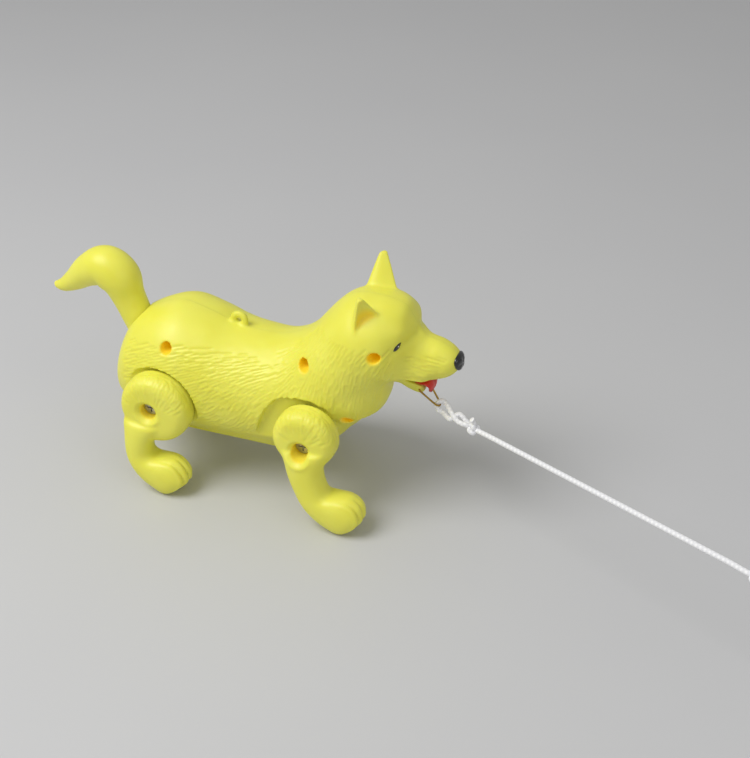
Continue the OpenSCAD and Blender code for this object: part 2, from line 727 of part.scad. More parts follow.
// Leash: bail bend, knot, taut run and the loop for the hand
bail_bend = [nose_x - 9.7, 0, 62.5];
bail_half_w = 7.6;
bail_dir = unit(bail_bend - [bail_x, 0, bail_z]);
bail_face = cross(bail_dir, [0, 1, 0]);
knot_c = [nose_x + 7, -5.5, 57.4];
knot_r = 3.3;
hand_c = [nose_x + 158, -87, 69.3];
run_dir = unit(hand_c - knot_c);
run_side = unit(cross(run_dir, [0, 0, 1]));
hand_dir = unit(run_dir - [0, 0, 0.25]);
cord_r = cord_d / 2;
seat_off = knot_r + 0.15;
through_c = bail_bend - bail_dir * 3.2;
loop_path = refine([
  knot_c + seat_off * unit([-8, 1.5, 4.5]),
  knot_c + [-9, 1.5, 5],
  through_c + bail_face * 4.5 + [2.5, -0.5, 0],
  through_c + bail_face * 2,
  through_c - bail_face * 2,
  through_c - bail_face * 4.5 + [3.5, -0.5, -1],
  knot_c + [-9.5, 2, -2.5],
  knot_c + seat_off * unit([-8, 1.5, -2.2])
], 3);
bail_path = refine([
  [bail_x, -0.05, bail_z],
  [bail_x, -bail_half_w + 2, bail_z],
  [bail_x + 0.5, -bail_half_w + 0.2, bail_z - 0.5],
  [bail_x + 2, -bail_half_w + 0.2, bail_z - 2],
  bail_bend + [-2.2, -2.7, 2.1],
  bail_bend + [-0.6, -1.6, 0.6],
  bail_bend,
  bail_bend + [-0.6, 1.6, 0.6],
  bail_bend + [-2.2, 2.7, 2.1],
  [bail_x + 2, bail_half_w - 0.2, bail_z - 2],
  [bail_x + 0.5, bail_half_w - 0.2, bail_z - 0.5],
  [bail_x, bail_half_w - 2, bail_z],
  [bail_x, 0.05, bail_z]
], 2);
run_rings = 20;
run_start = knot_c + run_dir * seat_off;
run_end = hand_c - run_dir * seat_off;
hand_loop_path = refine(concat(
  [hand_c + (seat_off + 0.3) * unit(hand_dir - 0.5 * run_side)],
  [
    for (k = [0 : 10])
      let (a = 42 + 276 * k / 10)
        hand_c + hand_dir * (30 - 27 * cos(a)) - run_side * 13 * sin(a)
  ],
  [hand_c + (seat_off + 0.3) * unit(hand_dir + 0.5 * run_side)]
), 2);

// The pieces
module body_shell_right() color(skin_yellow) body_half(true);
module body_shell_left() color(skin_yellow) mirror([0, 1, 0]) body_half(false);
module tail() color(skin_yellow) union() {
  tail_frame() translate([0, 0, 0.05]) cylinder(r = tail_root_r, h = plug_len);
  tail_frame() translate([0, 0, -spigot_len]) cylinder(r = spigot_r, h = spigot_len + 2);
  tube([for (p = tail_path) [p[0], 0, p[1]]], [for (r = tail_radii) r[0]], [0, -1, 0], 16);
}
module tongue() color(tongue_red) {
  path = refine([
    [jaw_x - 2.8, mouth_z + 1.05], [jaw_x - 1.4, mouth_z + 0.95], [jaw_x + 0.6, mouth_z + 0.3],
    [jaw_x + 2, mouth_z - 1.8], [jaw_x + 2.3, mouth_z - 5], [jaw_x + 2.2, mouth_z - 8.6]
  ], 2);
  wide = refine([[4], [5], [5.8], [5.6], [4.2], [1]], 2);
  loft([
    for (i = [0 : len(path) - 1])
      let (
        p = [for (q = path) [q[0], 0, q[1]]],
        along = heading(p, i),
        up = cross([0, -1, 0], along)
      ) [
        for (j = [0 : 11])
          let (a = 30 * j - 90)
            p[i] + 0.85 * sin(a) * up + wide[i][0] * cos(a) * [0, -1, 0]
      ]
  ]);
}
module body_screws() color(steel) {
  for (p = body_screw_places)
    screw_y(p[0], p[1], -screw_seat_y, screw_len, head_r, head_h);
}
module front_right_leg() color(skin_yellow) front_leg();
module front_left_leg() color(skin_yellow)
  turned(shoulder_x, shoulder_z, 2 * front_swing) mirror([0, 1, 0]) front_leg();
module hind_right_leg() color(skin_yellow) hind_leg();
module hind_left_leg() color(skin_yellow)
  turned(hip_x, hip_z, hind_lean + hind_back) mirror([0, 1, 0]) hind_leg();
module leg_screws() color(steel) {
  for (p = [[shoulder_x, shoulder_z], [hip_x, hip_z]]) {
    screw_y(p[0], p[1], -seat_y - part_gap, leg_screw_len, leg_recess_r - 0.5, head_h);
    mirror([0, 1, 0])
      screw_y(p[0], p[1], -seat_y - part_gap, leg_screw_len, leg_recess_r - 0.5, head_h);
  }
}
module gearbox_right() color(frame_white) difference() {
  union() {
    plate_y(-frame_half_w, -frame_inner) frame_outline();
    for (c = spacers)
      rod_y(c[0], c[1], spacer_r, -frame_inner - 0.5, frame_split);
    for (side = [-1, 1])
      translate([motor_c[0] + side * (motor_flat / 2 + 1.1), 0, motor_c[1]])
        block(-1, 1, -frame_inner - 0.5, -4, -5, 5);
  }
  frame_bores();
}
module gearbox_left() color(frame_white) difference() {
  union() {
    plate_y(frame_inner, frame_half_w) frame_outline();
    for (c = spacers)
      rod_y(c[0], c[1], spacer_r, frame_split, frame_inner + 0.5);
    for (c = [first_c, second_c])
      rod_y(c[0], c[1], pin_r + 1, layer_b + gear_w + part_gap, frame_inner + 0.5);
  }
  frame_bores();
}
module gearbox_screws() color(steel) mirror([0, 1, 0]) {
  for (c = spacers)
    difference() {
      union() {
        rod_y(c[0], c[1], screw_r - 0.02, -frame_half_w, 6);
        rod_y(c[0], c[1], head_r - 0.2, -frame_half_w - 0.9, -frame_half_w);
      }
      block(c[0] - 0.3, c[0] + 0.3, -frame_half_w - 2, -frame_half_w - 0.4, c[1] - 1.6, c[1] + 1.6);
    }
}
module gear_pins() color(steel) {
  for (c = [first_c, second_c])
    rod_y(c[0], c[1], pin_r - 0.01, -frame_half_w, frame_half_w);
}
module motor_can() color(steel) difference() {
  intersection() {
    rod_y(motor_c[0], motor_c[1], motor_r, motor_back, motor_front);
    block(motor_c[0] - motor_flat / 2, motor_c[0] + motor_flat / 2, -outside, outside, 0, 200);
  }
  rod_y(motor_c[0], motor_c[1], motor_shaft_r + run_fit, -outside, outside);
}
module motor_endcap() color(tray_black) difference() {
  intersection() {
    rod_y(motor_c[0], motor_c[1], motor_r - 0.3, motor_back - 1.6, motor_back - 0.05);
    block(motor_c[0] - motor_flat / 2 + 0.2, motor_c[0] + motor_flat / 2 - 0.2, -outside, outside, 0, 200);
  }
  rod_y(motor_c[0], motor_c[1], motor_shaft_r + run_fit, -outside, outside);
}
module motor_shaft() color(steel)
  rod_y(motor_c[0], motor_c[1], motor_shaft_r, motor_back - 1.4, layer_a + gear_w + 0.4);
module motor_pinion() color(gear_white) difference() {
  gear_y(motor_c, pinion_teeth, pinion_turn, layer_a, layer_a + gear_w);
  rod_y(motor_c[0], motor_c[1], motor_shaft_r, -outside, outside);
}
module first_gear() color(gear_white) difference() {
  union() {
    gear_y(first_c, first_teeth, first_turn, layer_a, layer_a + gear_w);
    gear_y(first_c, small_teeth, first_small_turn, layer_a + 1, layer_b + gear_w);
    rod_y(first_c[0], first_c[1], pin_r + 1, motor_front - 6, layer_a + 1);
  }
  rod_y(first_c[0], first_c[1], pin_r + run_fit, -outside, outside);
}
module second_gear() color(gear_white) difference() {
  union() {
    gear_y(second_c, second_teeth, second_turn, layer_b, layer_b + gear_w);
    gear_y(second_c, small_teeth, second_small_turn, layer_a, layer_b + 1);
    rod_y(second_c[0], second_c[1], pin_r + 1, motor_front - 6, layer_a + 1);
  }
  rod_y(second_c[0], second_c[1], pin_r + run_fit, -outside, outside);
}
module crank_gear() color(gear_white) difference() {
  union() {
    gear_y(crank_c, crank_teeth, crank_turn, layer_a, layer_a + gear_w);
    rod_y(crank_c[0], crank_c[1], crank_shaft_r + 1.2, layer_a - 3, layer_a + gear_w + 2.4);
  }
  rod_y(crank_c[0], crank_c[1], crank_shaft_r, -outside, outside);
  for (k = [0 : 4])
    translate([crank_c[0], 0, crank_c[1]])
      rotate([0, 72 * k, 0])
        rod_y(6.7, 0, 1.8, -outside, outside);
}
module crank_shaft() color(steel)
  rod_y(crank_c[0], crank_c[1], crank_shaft_r, -crank_y - crank_t, crank_y + crank_t);
module crank(side) {
  difference() {
    union() {
      rod_y(crank_c[0], crank_c[1], crank_r, -crank_y - crank_t, -crank_y);
      rod_y(crank_c[0], crank_c[1], crank_shaft_r + 1.5, -crank_y - 1, -frame_half_w - part_gap);
      rod_y(crank_c[0] - side * pin_back, crank_c[1] - pin_drop, crank_pin_r, -pin_end, -crank_y - 1);
    }
    rod_y(crank_c[0], crank_c[1], crank_shaft_r, -outside, outside);
  }
}
module crank_right() color(gear_white) crank(1);
module crank_left() color(gear_white) mirror([0, 1, 0]) crank(-1);
module battery_tray() color(tray_black) difference() {
  union() {
    block(-tray_x1, tray_x1, -tray_half_w, tray_half_w, tray_z0, tray_z1);
    block(tray_x0, -tray_x1 + 1, -4, 4, tray_z0, tray_z0 + 9);
    for (x = tray_ear_x)
      block(x, x + tray_ear_len, -tray_half_w - tray_ear_w, tray_half_w + tray_ear_w,
        tray_ear_z, tray_ear_z + 2);
  }
  block(-tray_x1 + tray_t, tray_x1 - tray_t, -tray_half_w + tray_t, tray_half_w - tray_t, 0, tray_z1 - tray_t);
  translate([cover_screw_x, 0, 0])
    cylinder(r = screw_r, h = tray_z0 + 8);
}
module battery_cover() color(skin_yellow) difference() {
  union() {
    block(tray_x0, tray_x1, -tray_half_w, tray_half_w, cover_z, tray_z0 - 0.05);
    for (k = [0 : 3])
      block(tray_x1 - 9 + 2 * k, tray_x1 - 8 + 2 * k, -6, 6, cover_z - 0.5, cover_z + 0.5);
  }
  translate([cover_screw_x, 0, 0])
    cylinder(r = screw_r + 0.2, h = outside);
  translate([cover_screw_x, 0, cover_z - 1])
    cylinder(r = head_r + 0.3, h = 2);
}
module battery_cover_screw() color(steel) difference() {
  union() {
    translate([cover_screw_x, 0, cover_z + 1])
      cylinder(r = screw_r - 0.02, h = 8.4);
    translate([cover_screw_x, 0, cover_z - 0.6])
      cylinder(r = head_r, h = 1.6);
  }
  block(cover_screw_x - 1.7, cover_screw_x + 1.7, -0.35, 0.35, cover_z - 1, cover_z + 0.1);
  block(cover_screw_x - 0.35, cover_screw_x + 0.35, -1.7, 1.7, cover_z - 1, cover_z + 0.1);
}
module cell(y, flip) {
  translate([0, y, cell_z])
    rotate([0, flip ? -90 : 90, 0])
      translate([0, 0, -cell_len / 2]) {
        cylinder(r = cell_r, h = cell_len - 1.4);
        cylinder(r = 2.7, h = cell_len);
      }
}
module battery_cells() color(steel) {
  cell(cell_r + cell_gap / 2, true);
  cell(-cell_r - cell_gap / 2, false);
}
module contact(x0, x1, y, toward) {
  block(x0, x1, y - 5, y + 5, cell_z - 5, cell_z + 5);
  translate([toward > 0 ? x1 - 0.1 : x0 - 1.3, y, cell_z])
    rotate([0, 90, 0])
      cylinder(r = 2.2, h = 1.4);
}
module battery_contacts() color(steel) {
  inner = tray_x1 - tray_t;
  for (y = [-cell_r - cell_gap / 2, cell_r + cell_gap / 2]) {
    contact(-inner, -inner + 0.6, y, 1);
    contact(inner - 0.6, inner, y, -1);
  }
  block(inner - 0.6, inner, -4, 4, cell_z - 2, cell_z + 2);
}
module switch_body() color(tray_black) difference() {
  block(switch_x - switch_len / 2, switch_x + switch_len / 2, -switch_half_w, switch_half_w,
    switch_z, switch_z + switch_h);
  block(knob_x - knob_len / 2 - 1.3, knob_x + knob_len / 2 + knob_travel + 1.3, -knob_half_w - 1.3,
    knob_half_w + 1.3, switch_z - 1, switch_z + 1.6);
}
module switch_knob() color(tray_black) {
  block(knob_x - knob_len / 2, knob_x + knob_len / 2, -knob_half_w, knob_half_w,
    belly_z + 2, switch_z + 1);
  block(knob_x - knob_len / 2 - 0.8, knob_x + knob_len / 2 + 0.8, -knob_half_w - 0.9, knob_half_w + 0.9,
    switch_z + part_gap, switch_z + 1.3);
}
wire_r = 0.6;
module wires() color(tongue_red) {
  swept(refine([
    [switch_x + 3, 1.5, switch_z + switch_h + 0.65],
    [switch_x + 7, 2, switch_z + switch_h + 3],
    [-30, 2, tray_z1 + 6],
    [-14, -6, tray_z1 + 9],
    [-5, -13, motor_c[1] - 7],
    [motor_c[0] - motor_flat / 2 - 0.3, motor_back - 0.2, motor_c[1] - 5.8]
  ], 4), wire_r, 8);
  swept(refine([
    [-24, 5, tray_z1 + 0.9],
    [-21, 4, tray_z1 + 2],
    [-15, -1, motor_c[1] - 2],
    [-9, -9, motor_c[1] + 6],
    [-4, -14, motor_c[1] + 7],
    [motor_c[0] - motor_flat / 2 - 0.3, motor_back - 0.2, motor_c[1] + 5.8]
  ], 4), wire_r, 8);
}
module leash_bail() color(steel) {
  path = bail_path;
  loft([
    for (i = [0 : len(path) - 1])
      let (along = heading(path, i))
        circle_ring(path[i], along, bail_face, wire_d / 2, 8)
  ]);
}
module leash_loop() color(cord_white) {
  path = loop_path;
  loft([
    for (i = [0 : len(path) - 1])
      let (along = heading(path, i), side = unit([0.1, 1, 0.05] - ([0.1, 1, 0.05] * along) * along))
        circle_ring(path[i], along, side, cord_r, 8)
  ]);
}
module leash_knot() color(cord_white) {
  translate(knot_c) sphere(knot_r);
  translate(knot_c + [1, -1.4, 4.6]) sphere(1.7);
}
module leash_run() color(cord_white)
  swept([for (k = [0 : run_rings]) run_start + (run_end - run_start) * k / run_rings], cord_r, 8);
module hand_knot() color(cord_white) {
  translate(hand_c) sphere(knot_r);
}
module hand_loop() color(cord_white) {
  path = hand_loop_path;
  up = cross(run_side, hand_dir);
  loft([
    for (i = [0 : len(path) - 1])
      circle_ring(path[i], heading(path, i), up, cord_r, 8)
  ]);
}

body_shell_right();
body_shell_left();
tail();
tongue();
body_screws();
front_right_leg();
front_left_leg();
hind_right_leg();
hind_left_leg();
leg_screws();
gearbox_right();
gearbox_left();
gearbox_screws();
gear_pins();
motor_can();
motor_endcap();
motor_shaft();
motor_pinion();
first_gear();
second_gear();
crank_gear();
crank_shaft();
crank_right();
crank_left();
battery_tray();
battery_cover();
battery_cover_screw();
battery_cells();
battery_contacts();
switch_body();
switch_knob();
wires();
leash_bail();
leash_loop();
leash_knot();
leash_run();
hand_knot();
hand_loop();
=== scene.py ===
import math

import bmesh
import bpy
import numpy as np
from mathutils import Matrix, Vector
from mathutils.bvhtree import BVHTree
from mathutils.kdtree import KDTree


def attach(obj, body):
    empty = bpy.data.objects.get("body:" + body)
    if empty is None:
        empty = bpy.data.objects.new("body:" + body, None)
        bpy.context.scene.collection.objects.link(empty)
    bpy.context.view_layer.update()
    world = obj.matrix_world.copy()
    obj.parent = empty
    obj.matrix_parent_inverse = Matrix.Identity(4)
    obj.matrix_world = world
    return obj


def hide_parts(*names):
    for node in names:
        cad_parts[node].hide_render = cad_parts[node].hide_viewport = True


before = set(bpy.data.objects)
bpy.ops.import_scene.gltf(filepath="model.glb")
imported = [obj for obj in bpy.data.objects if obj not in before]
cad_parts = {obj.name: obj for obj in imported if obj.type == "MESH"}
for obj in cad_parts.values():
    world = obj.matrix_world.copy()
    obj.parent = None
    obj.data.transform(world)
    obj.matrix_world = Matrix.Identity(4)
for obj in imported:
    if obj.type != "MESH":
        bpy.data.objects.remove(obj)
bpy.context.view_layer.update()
scene = bpy.context.scene
scene.view_settings.view_transform = "Standard"

# Camera: it looks down on the dog's right side from ahead of the shoulder, through a short
# telephoto lens. The picture is 750 by 758, so the 36 mm of the sensor lie along its height.
camera_place = Vector((0.2736, -0.5574, 0.4555))
camera_aim = Vector((0.0434, 0.0730, 0.0200))
focal_px = 1379
picture_high = 758
lens = bpy.data.cameras.new("camera")
lens.sensor_fit = "AUTO"
lens.sensor_width = 36
lens.lens = lens.sensor_width * focal_px / picture_high
lens.dof.use_dof = False
camera = bpy.data.objects.new("camera", lens)
camera.location = camera_place
camera.rotation_euler = (camera_aim - camera_place).to_track_quat("-Z", "Y").to_euler()
scene.collection.objects.link(camera)
scene.camera = camera


# Table: a pale sheet of laminate, larger than the view, with the faint tone of a sprayed
# finish. It is only what the toy stands on.
class Shade:
    """A value in a finish's node tree, so that a finish is written as a sum."""

    def __init__(self, socket):
        self.socket = socket

    def node(self, kind, settings=None, links=None, out=0):
        tree = self.socket.id_data
        made = tree.nodes.new(kind)
        for name, value in (settings or {}).items():
            setattr(made, name, value)
        for name, value in (links or {}).items():
            socket = made.inputs[name]
            if isinstance(value, Shade):
                tree.links.new(value.socket, socket)
            elif hasattr(value, "__len__") and len(socket.default_value) == 4:
                socket.default_value = (*value[:3], 1)
            else:
                socket.default_value = value
        return Shade(made.outputs[out])

    def math(self, operation, first, second):
        return self.node("ShaderNodeMath", {"operation": operation}, {0: first, 1: second})

    def __add__(self, other):
        return self.math("ADD", self, other)

    def __mul__(self, other):
        return self.math("MULTIPLY", self, other)

    def __sub__(self, other):
        return self.math("SUBTRACT", self, other)

    def __rsub__(self, other):
        return self.math("SUBTRACT", other, self)

    __radd__ = __add__
    __rmul__ = __mul__

    def between(self, low, high):
        """0 below low, 1 above high."""
        return self.node(
            "ShaderNodeMapRange",
            {"interpolation_type": "SMOOTHSTEP"},
            {"Value": self, "From Min": low, "From Max": high},
        )

    def tone(self, dark, light):
        """The colour dark at 0 and light at 1."""
        return self.node("ShaderNodeMix", {"data_type": "RGBA"}, {0: self, 6: dark, 7: light}, 2)

    def grain(self, size_mm, detail=3, stretch=(1, 1, 1)):
        """Even noise with grains of that size, drawn out along an axis."""
        place = self.node(
            "ShaderNodeVectorMath",
            {"operation": "MULTIPLY"},
            {0: self, 1: tuple(1000 * s / size_mm for s in stretch)},
        )
        return self.node("ShaderNodeTexNoise", {}, {"Vector": place, "Scale": 1.0, "Detail": detail})


def finish(name, **constants):
    """A new finish, its shader with constant sockets set, and the piece's own coordinates."""
    made = bpy.data.materials.new(name)
    made.use_nodes = True
    shader = made.node_tree.nodes["Principled BSDF"]
    for socket, value in constants.items():
        shader.inputs[socket.replace("_", " ")].default_value = value
    place = made.node_tree.nodes.new("ShaderNodeTexCoord")
    return made, shader, Shade(place.outputs["Object"])


def feed(shader, **links):
    """Links varying values to the shader's sockets, and height_mm through a Bump node."""
    tree = shader.id_data
    height = links.pop("height_mm", None)
    if height is not None:
        bump = height.node("ShaderNodeBump", {}, {"Distance": 0.001, "Height": height, "Strength": 1.0})
        tree.links.new(bump.socket, shader.inputs["Normal"])
    for socket, value in links.items():
        tree.links.new(value.socket, shader.inputs[socket.replace("_", " ")])


def linear(red, green, blue):
    """A colour as read off a screen, 0 to 255, in the light that shaders use."""
    return tuple(
        c / 12.92 if c <= 0.04045 else ((c + 0.055) / 1.055) ** 2.4
        for c in (red / 255, green / 255, blue / 255)
    )


laminate, shader, place = finish("table_laminate", Roughness=0.55)
feed(
    shader,
    Base_Color=place.grain(240, 2).tone(linear(196, 196, 197), linear(202, 202, 202)),
    height_mm=place.grain(1.5, 2) * 0.02,
)
table_half = 2.5
table_corners = [(-table_half, -table_half, 0), (table_half, -table_half, 0)]
table_corners += [(table_half, table_half, 0), (-table_half, table_half, 0)]
sheet = bpy.data.meshes.new("table")
sheet.from_pydata(table_corners, [], [(0, 1, 2, 3)])
sheet.materials.append(laminate)
table = bpy.data.objects.new("table", sheet)
scene.collection.objects.link(table)

# Light: one large soft box high on the left of the picture, a weaker one on the right, and
# an even white room.
room_strength = 0.4
lit_point = Vector((0, 0, 0.05))
room = bpy.data.worlds.new("room")
room.use_nodes = True
room.node_tree.nodes["Background"].inputs["Color"].default_value = (1, 1, 1, 1)
room.node_tree.nodes["Background"].inputs["Strength"].default_value = room_strength
scene.world = room
for name, at, size, watts in (
    ("key_box", (-0.55, -0.55, 1.15), 0.9, 13),
    ("fill_box", (0.9, -0.6, 0.7), 0.8, 1.5),
):
    lamp = bpy.data.lights.new(name, "AREA")
    lamp.shape = "DISK"
    lamp.size = size
    lamp.energy = watts
    box = bpy.data.objects.new(name, lamp)
    box.location = at
    box.rotation_euler = (lit_point - Vector(at)).to_track_quat("-Z", "Y").to_euler()
    scene.collection.objects.link(box)


# Leash: one white braided cord, 2.6 mm thick. It is looped through the wire bail, knotted,
# and pulled tight to a loop for the hand, just outside the picture.
MM = 0.001


def unit(v):
    v = np.array(v, float)
    return v / np.linalg.norm(v)


def curved(rows, steps):
    """Rows of numbers joined by a smooth curve, with so many steps between two of them."""
    rows = np.array(rows, float)
    ends = np.vstack([2 * rows[0] - rows[1], rows, 2 * rows[-1] - rows[-2]])
    made = []
    for i in range(1, len(rows)):
        a, b, c, d = ends[i - 1 : i + 3]
        for t in np.arange(steps) / steps:
            square = (a - 2.5 * b + 2 * c - d / 2) * t**2
            made.append(b + (c - a) * t / 2 + square + (1.5 * (b - c) + (d - a) / 2) * t**3)
    made.append(rows[-1])
    return np.array(made)


def lofted(rings):
    """A closed skin through rings of points: points and faces."""
    rings = np.array(rings, float)
    n, m = rings.shape[:2]
    points = np.vstack([rings.reshape(-1, 3), rings[0].mean(0), rings[-1].mean(0)])
    faces = []
    for i in range(n - 1):
        for j in range(m):
            k = (j + 1) % m
            faces.append((i * m + j, i * m + k, (i + 1) * m + k, (i + 1) * m + j))
    for j in range(m):
        k = (j + 1) % m
        faces.append((n * m, k, j))
        faces.append((n * m + 1, (n - 1) * m + j, (n - 1) * m + k))
    return points, faces


def along(route):
    """Two directions square to a route at each of its points, carried on without twist."""
    route = np.array(route, float)
    heading = np.gradient(route, axis=0)
    heading /= np.linalg.norm(heading, axis=1)[:, None]
    side = np.cross(heading[0], (0.3, 0.9, 0.2))
    sides = []
    for h in heading:
        side = unit(side - h * np.dot(side, h))
        sides.append(side)
    sides = np.array(sides)
    return sides, np.cross(heading, sides)


def tube(route, radii, sides=12):
    """Rings of points round a route in millimetres."""
    a, b = along(route)
    radii = np.broadcast_to(np.array(radii, float), (len(route),))
    turn = np.arange(sides) * 2 * math.pi / sides
    return np.array([
        p + r * (np.outer(np.cos(turn), u) + np.outer(np.sin(turn), v))
        for p, r, u, v in zip(np.array(route, float), radii, a, b)
    ])


def piece(name, skin, material, body, replaces=()):
    """A smooth piece from points in millimetres and faces, riding on a CAD body."""
    points, faces = skin
    mesh = bpy.data.meshes.new(name)
    mesh.from_pydata([tuple(p) for p in np.array(points) * MM], [], faces)
    mesh.validate()
    mesh.shade_smooth()
    mesh.materials.append(material)
    made = bpy.data.objects.new(name, mesh)
    scene.collection.objects.link(made)
    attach(made, body)
    if replaces:
        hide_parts(*replaces)
    return made


def mark(made, name, rows):
    """Keeps three numbers at each point of a piece, for its finish."""
    kept = made.data.attributes.new(name, "FLOAT_VECTOR", "POINT")
    kept.data.foreach_set("vector", np.array(rows, np.float32).ravel())


def marked(place, name):
    """The three numbers kept at each point, as shades."""
    read = place.node("ShaderNodeAttribute", {"attribute_name": name}, out=1)
    parts = read.node("ShaderNodeSeparateXYZ", {}, {0: read}).socket.node
    return [Shade(s) for s in parts.outputs]


cord_d = 2.6
knot_at = np.array((125.5, -7.4, 57.7))
hand_at = np.array((273, -87, 69.3))
looped_at = np.array((104.5, 0, 62.1))
run_dir = unit(hand_at - knot_at)
run_side = unit(np.cross(run_dir, (0, 0, 1)))
hand_dir = unit(run_dir - np.array((0, 0, 0.25)))
leash_points = [
    # out of the knot, once round the bend of the bail, and back into the knot
    knot_at + (-1.2, 0.4, 0.8),
    knot_at + (-4.2, -0.7, 1.7),
    knot_at + (-8.6, 0.4, 2.0),
    knot_at + (-12.2, 2.6, 4.2),
    looped_at + (3.4, 0.9, 1.9),
    looped_at + (0.9, 0.4, 2.7),
    looped_at + (-0.9, -0.1, 0.6),
    looped_at + (0.3, -0.7, -2.2),
    looped_at + (3.0, -1.2, -2.9),
    knot_at + (-12.8, 1.6, 1.6),
    knot_at + (-8.8, 3.4, 4.4),
    knot_at + (-4.4, 2.2, 1.8),
    knot_at,
]
run_steps = 12
leash_points += [knot_at + (hand_at - knot_at) * k / run_steps for k in range(1, run_steps + 1)]
hand_loop_middle, hand_loop_half_len, hand_loop_half_w = 30, 27, 13
hand_loop_steps, hand_loop_start, hand_loop_turn = 11, 42, 27.6
for k in range(hand_loop_steps):
    a = math.radians(hand_loop_start + hand_loop_turn * k)
    reach = hand_loop_middle - hand_loop_half_len * math.cos(a)
    leash_points.append(hand_at + hand_dir * reach - run_side * hand_loop_half_w * math.sin(a))
leash_points.append(hand_at + 2.0 * hand_dir)
leash_route = curved(leash_points, 6)


def zigzag(ramp):
    """Rises from 0 to a half and falls back, once for each whole number of the ramp."""
    return ramp.math("PINGPONG", ramp, 0.5)


braid, shader, place = finish("braided_cord", Roughness=0.72, Sheen_Weight=0.25)
round_cord, along_cord, _ = marked(place, "braid")
plait = zigzag(along_cord + round_cord) * 2 * (zigzag(along_cord - round_cord) * 2)
# Painted shade: the cord is a little darker where the braid's relief dips between the strands.
feed(
    shader,
    Base_Color=plait.between(0.0, 0.6).tone(linear(232, 232, 234), linear(248, 248, 248)),
    height_mm=plait * 0.06 + place.grain(0.3, 2) * 0.03,
)
cord_sides = 14
braid_pitch = 2.4


def cord_piece(name, route, radii, replaces=()):
    """A length of cord with its braid marked on it: turns round it and pitches along it."""
    rings = tube(route, radii, cord_sides)
    made = piece(name, lofted(rings), braid, "leash", replaces)
    run = np.concatenate([[0], np.cumsum(np.linalg.norm(np.diff(route, axis=0), axis=1))])
    turn = np.tile(np.arange(cord_sides) * 2 / cord_sides, len(route))
    rows = np.column_stack([turn, np.repeat(run, cord_sides) / braid_pitch, np.zeros(len(turn))])
    mark(made, "braid", np.vstack([rows, rows[:1], rows[-1:]]))
    return made


leash = cord_piece("leash_cord", leash_route, cord_d / 2, ("leash_loop", "leash_run", "hand_loop"))
knot_size, knot_cord_r = 0.83, 1.25
# the way of the cord through an overhand knot
t = np.linspace(0.35, 2 * math.pi - 0.15, 90)
wound = np.outer(np.sin(t) + 2 * np.sin(2 * t), run_side)
wound += np.outer(np.cos(t) - 2 * np.cos(2 * t), np.cross(run_dir, run_side))
wound += np.outer(-1.25 * np.sin(3 * t), run_dir)
knots = [
    cord_piece("leash_knot_tied", knot_at + knot_size * wound, knot_cord_r, ("leash_knot",)),
    cord_piece("hand_knot_tied", hand_at + knot_size * wound, knot_cord_r, ("hand_knot",)),
]
# the cut end is a little thicker near its tip, where it was melted off
cut_end_points = ((0, 0.4, 1), (0.3, -0.6, 3.6), (-0.4, -1.2, 5.4), (-1.0, -1.5, 6.2))
cut_end = curved([knot_at + q for q in cut_end_points], 6)
stub = np.linspace(0, 1, len(cut_end))
stub_r = 1.05 + 0.55 * np.exp(-(((stub - 0.86) / 0.12) ** 2))
knots.append(cord_piece("leash_cut_end", cut_end, stub_r))

# Bail: a V of 1 mm brassy spring wire. Its two ends turn inward into the holes of the lower
# jaw, so that it can swing, and the leash is looped over its bend.
wire_d = 1.0
bail_x, bail_z = 95.4, 73.4
bail_half_w = 5.6
bail_bend = np.array((105.3, 0, 62.5))
half_bail = [
    (bail_x, -2.0, bail_z),
    (bail_x, -bail_half_w + 2, bail_z),
    (bail_x + 0.5, -bail_half_w + 0.2, bail_z - 0.5),
    (bail_x + 2, -bail_half_w + 0.2, bail_z - 2),
    bail_bend + (-2.2, -2.7, 2.1),
    bail_bend + (-0.6, -1.6, 0.6),
]
bail_points = np.array(half_bail + [bail_bend] + [np.array(p) * (1, -1, 1) for p in half_bail[::-1]])
brassy, shader, place = finish("bail_wire", Metallic=1.0)
feed(
    shader,
    Base_Color=place.grain(3, 3).tone(linear(150, 112, 42), linear(206, 170, 84)),
    Roughness=place.grain(0.6, 2).between(0.2, 0.9) * 0.2 + 0.25,
    height_mm=place.grain(0.4, 2) * 0.03,
)
bail = lofted(tube(curved(bail_points, 6), wire_d / 2, 10))
piece("bail_wire", bail, brassy, "leash", ("leash_bail",))

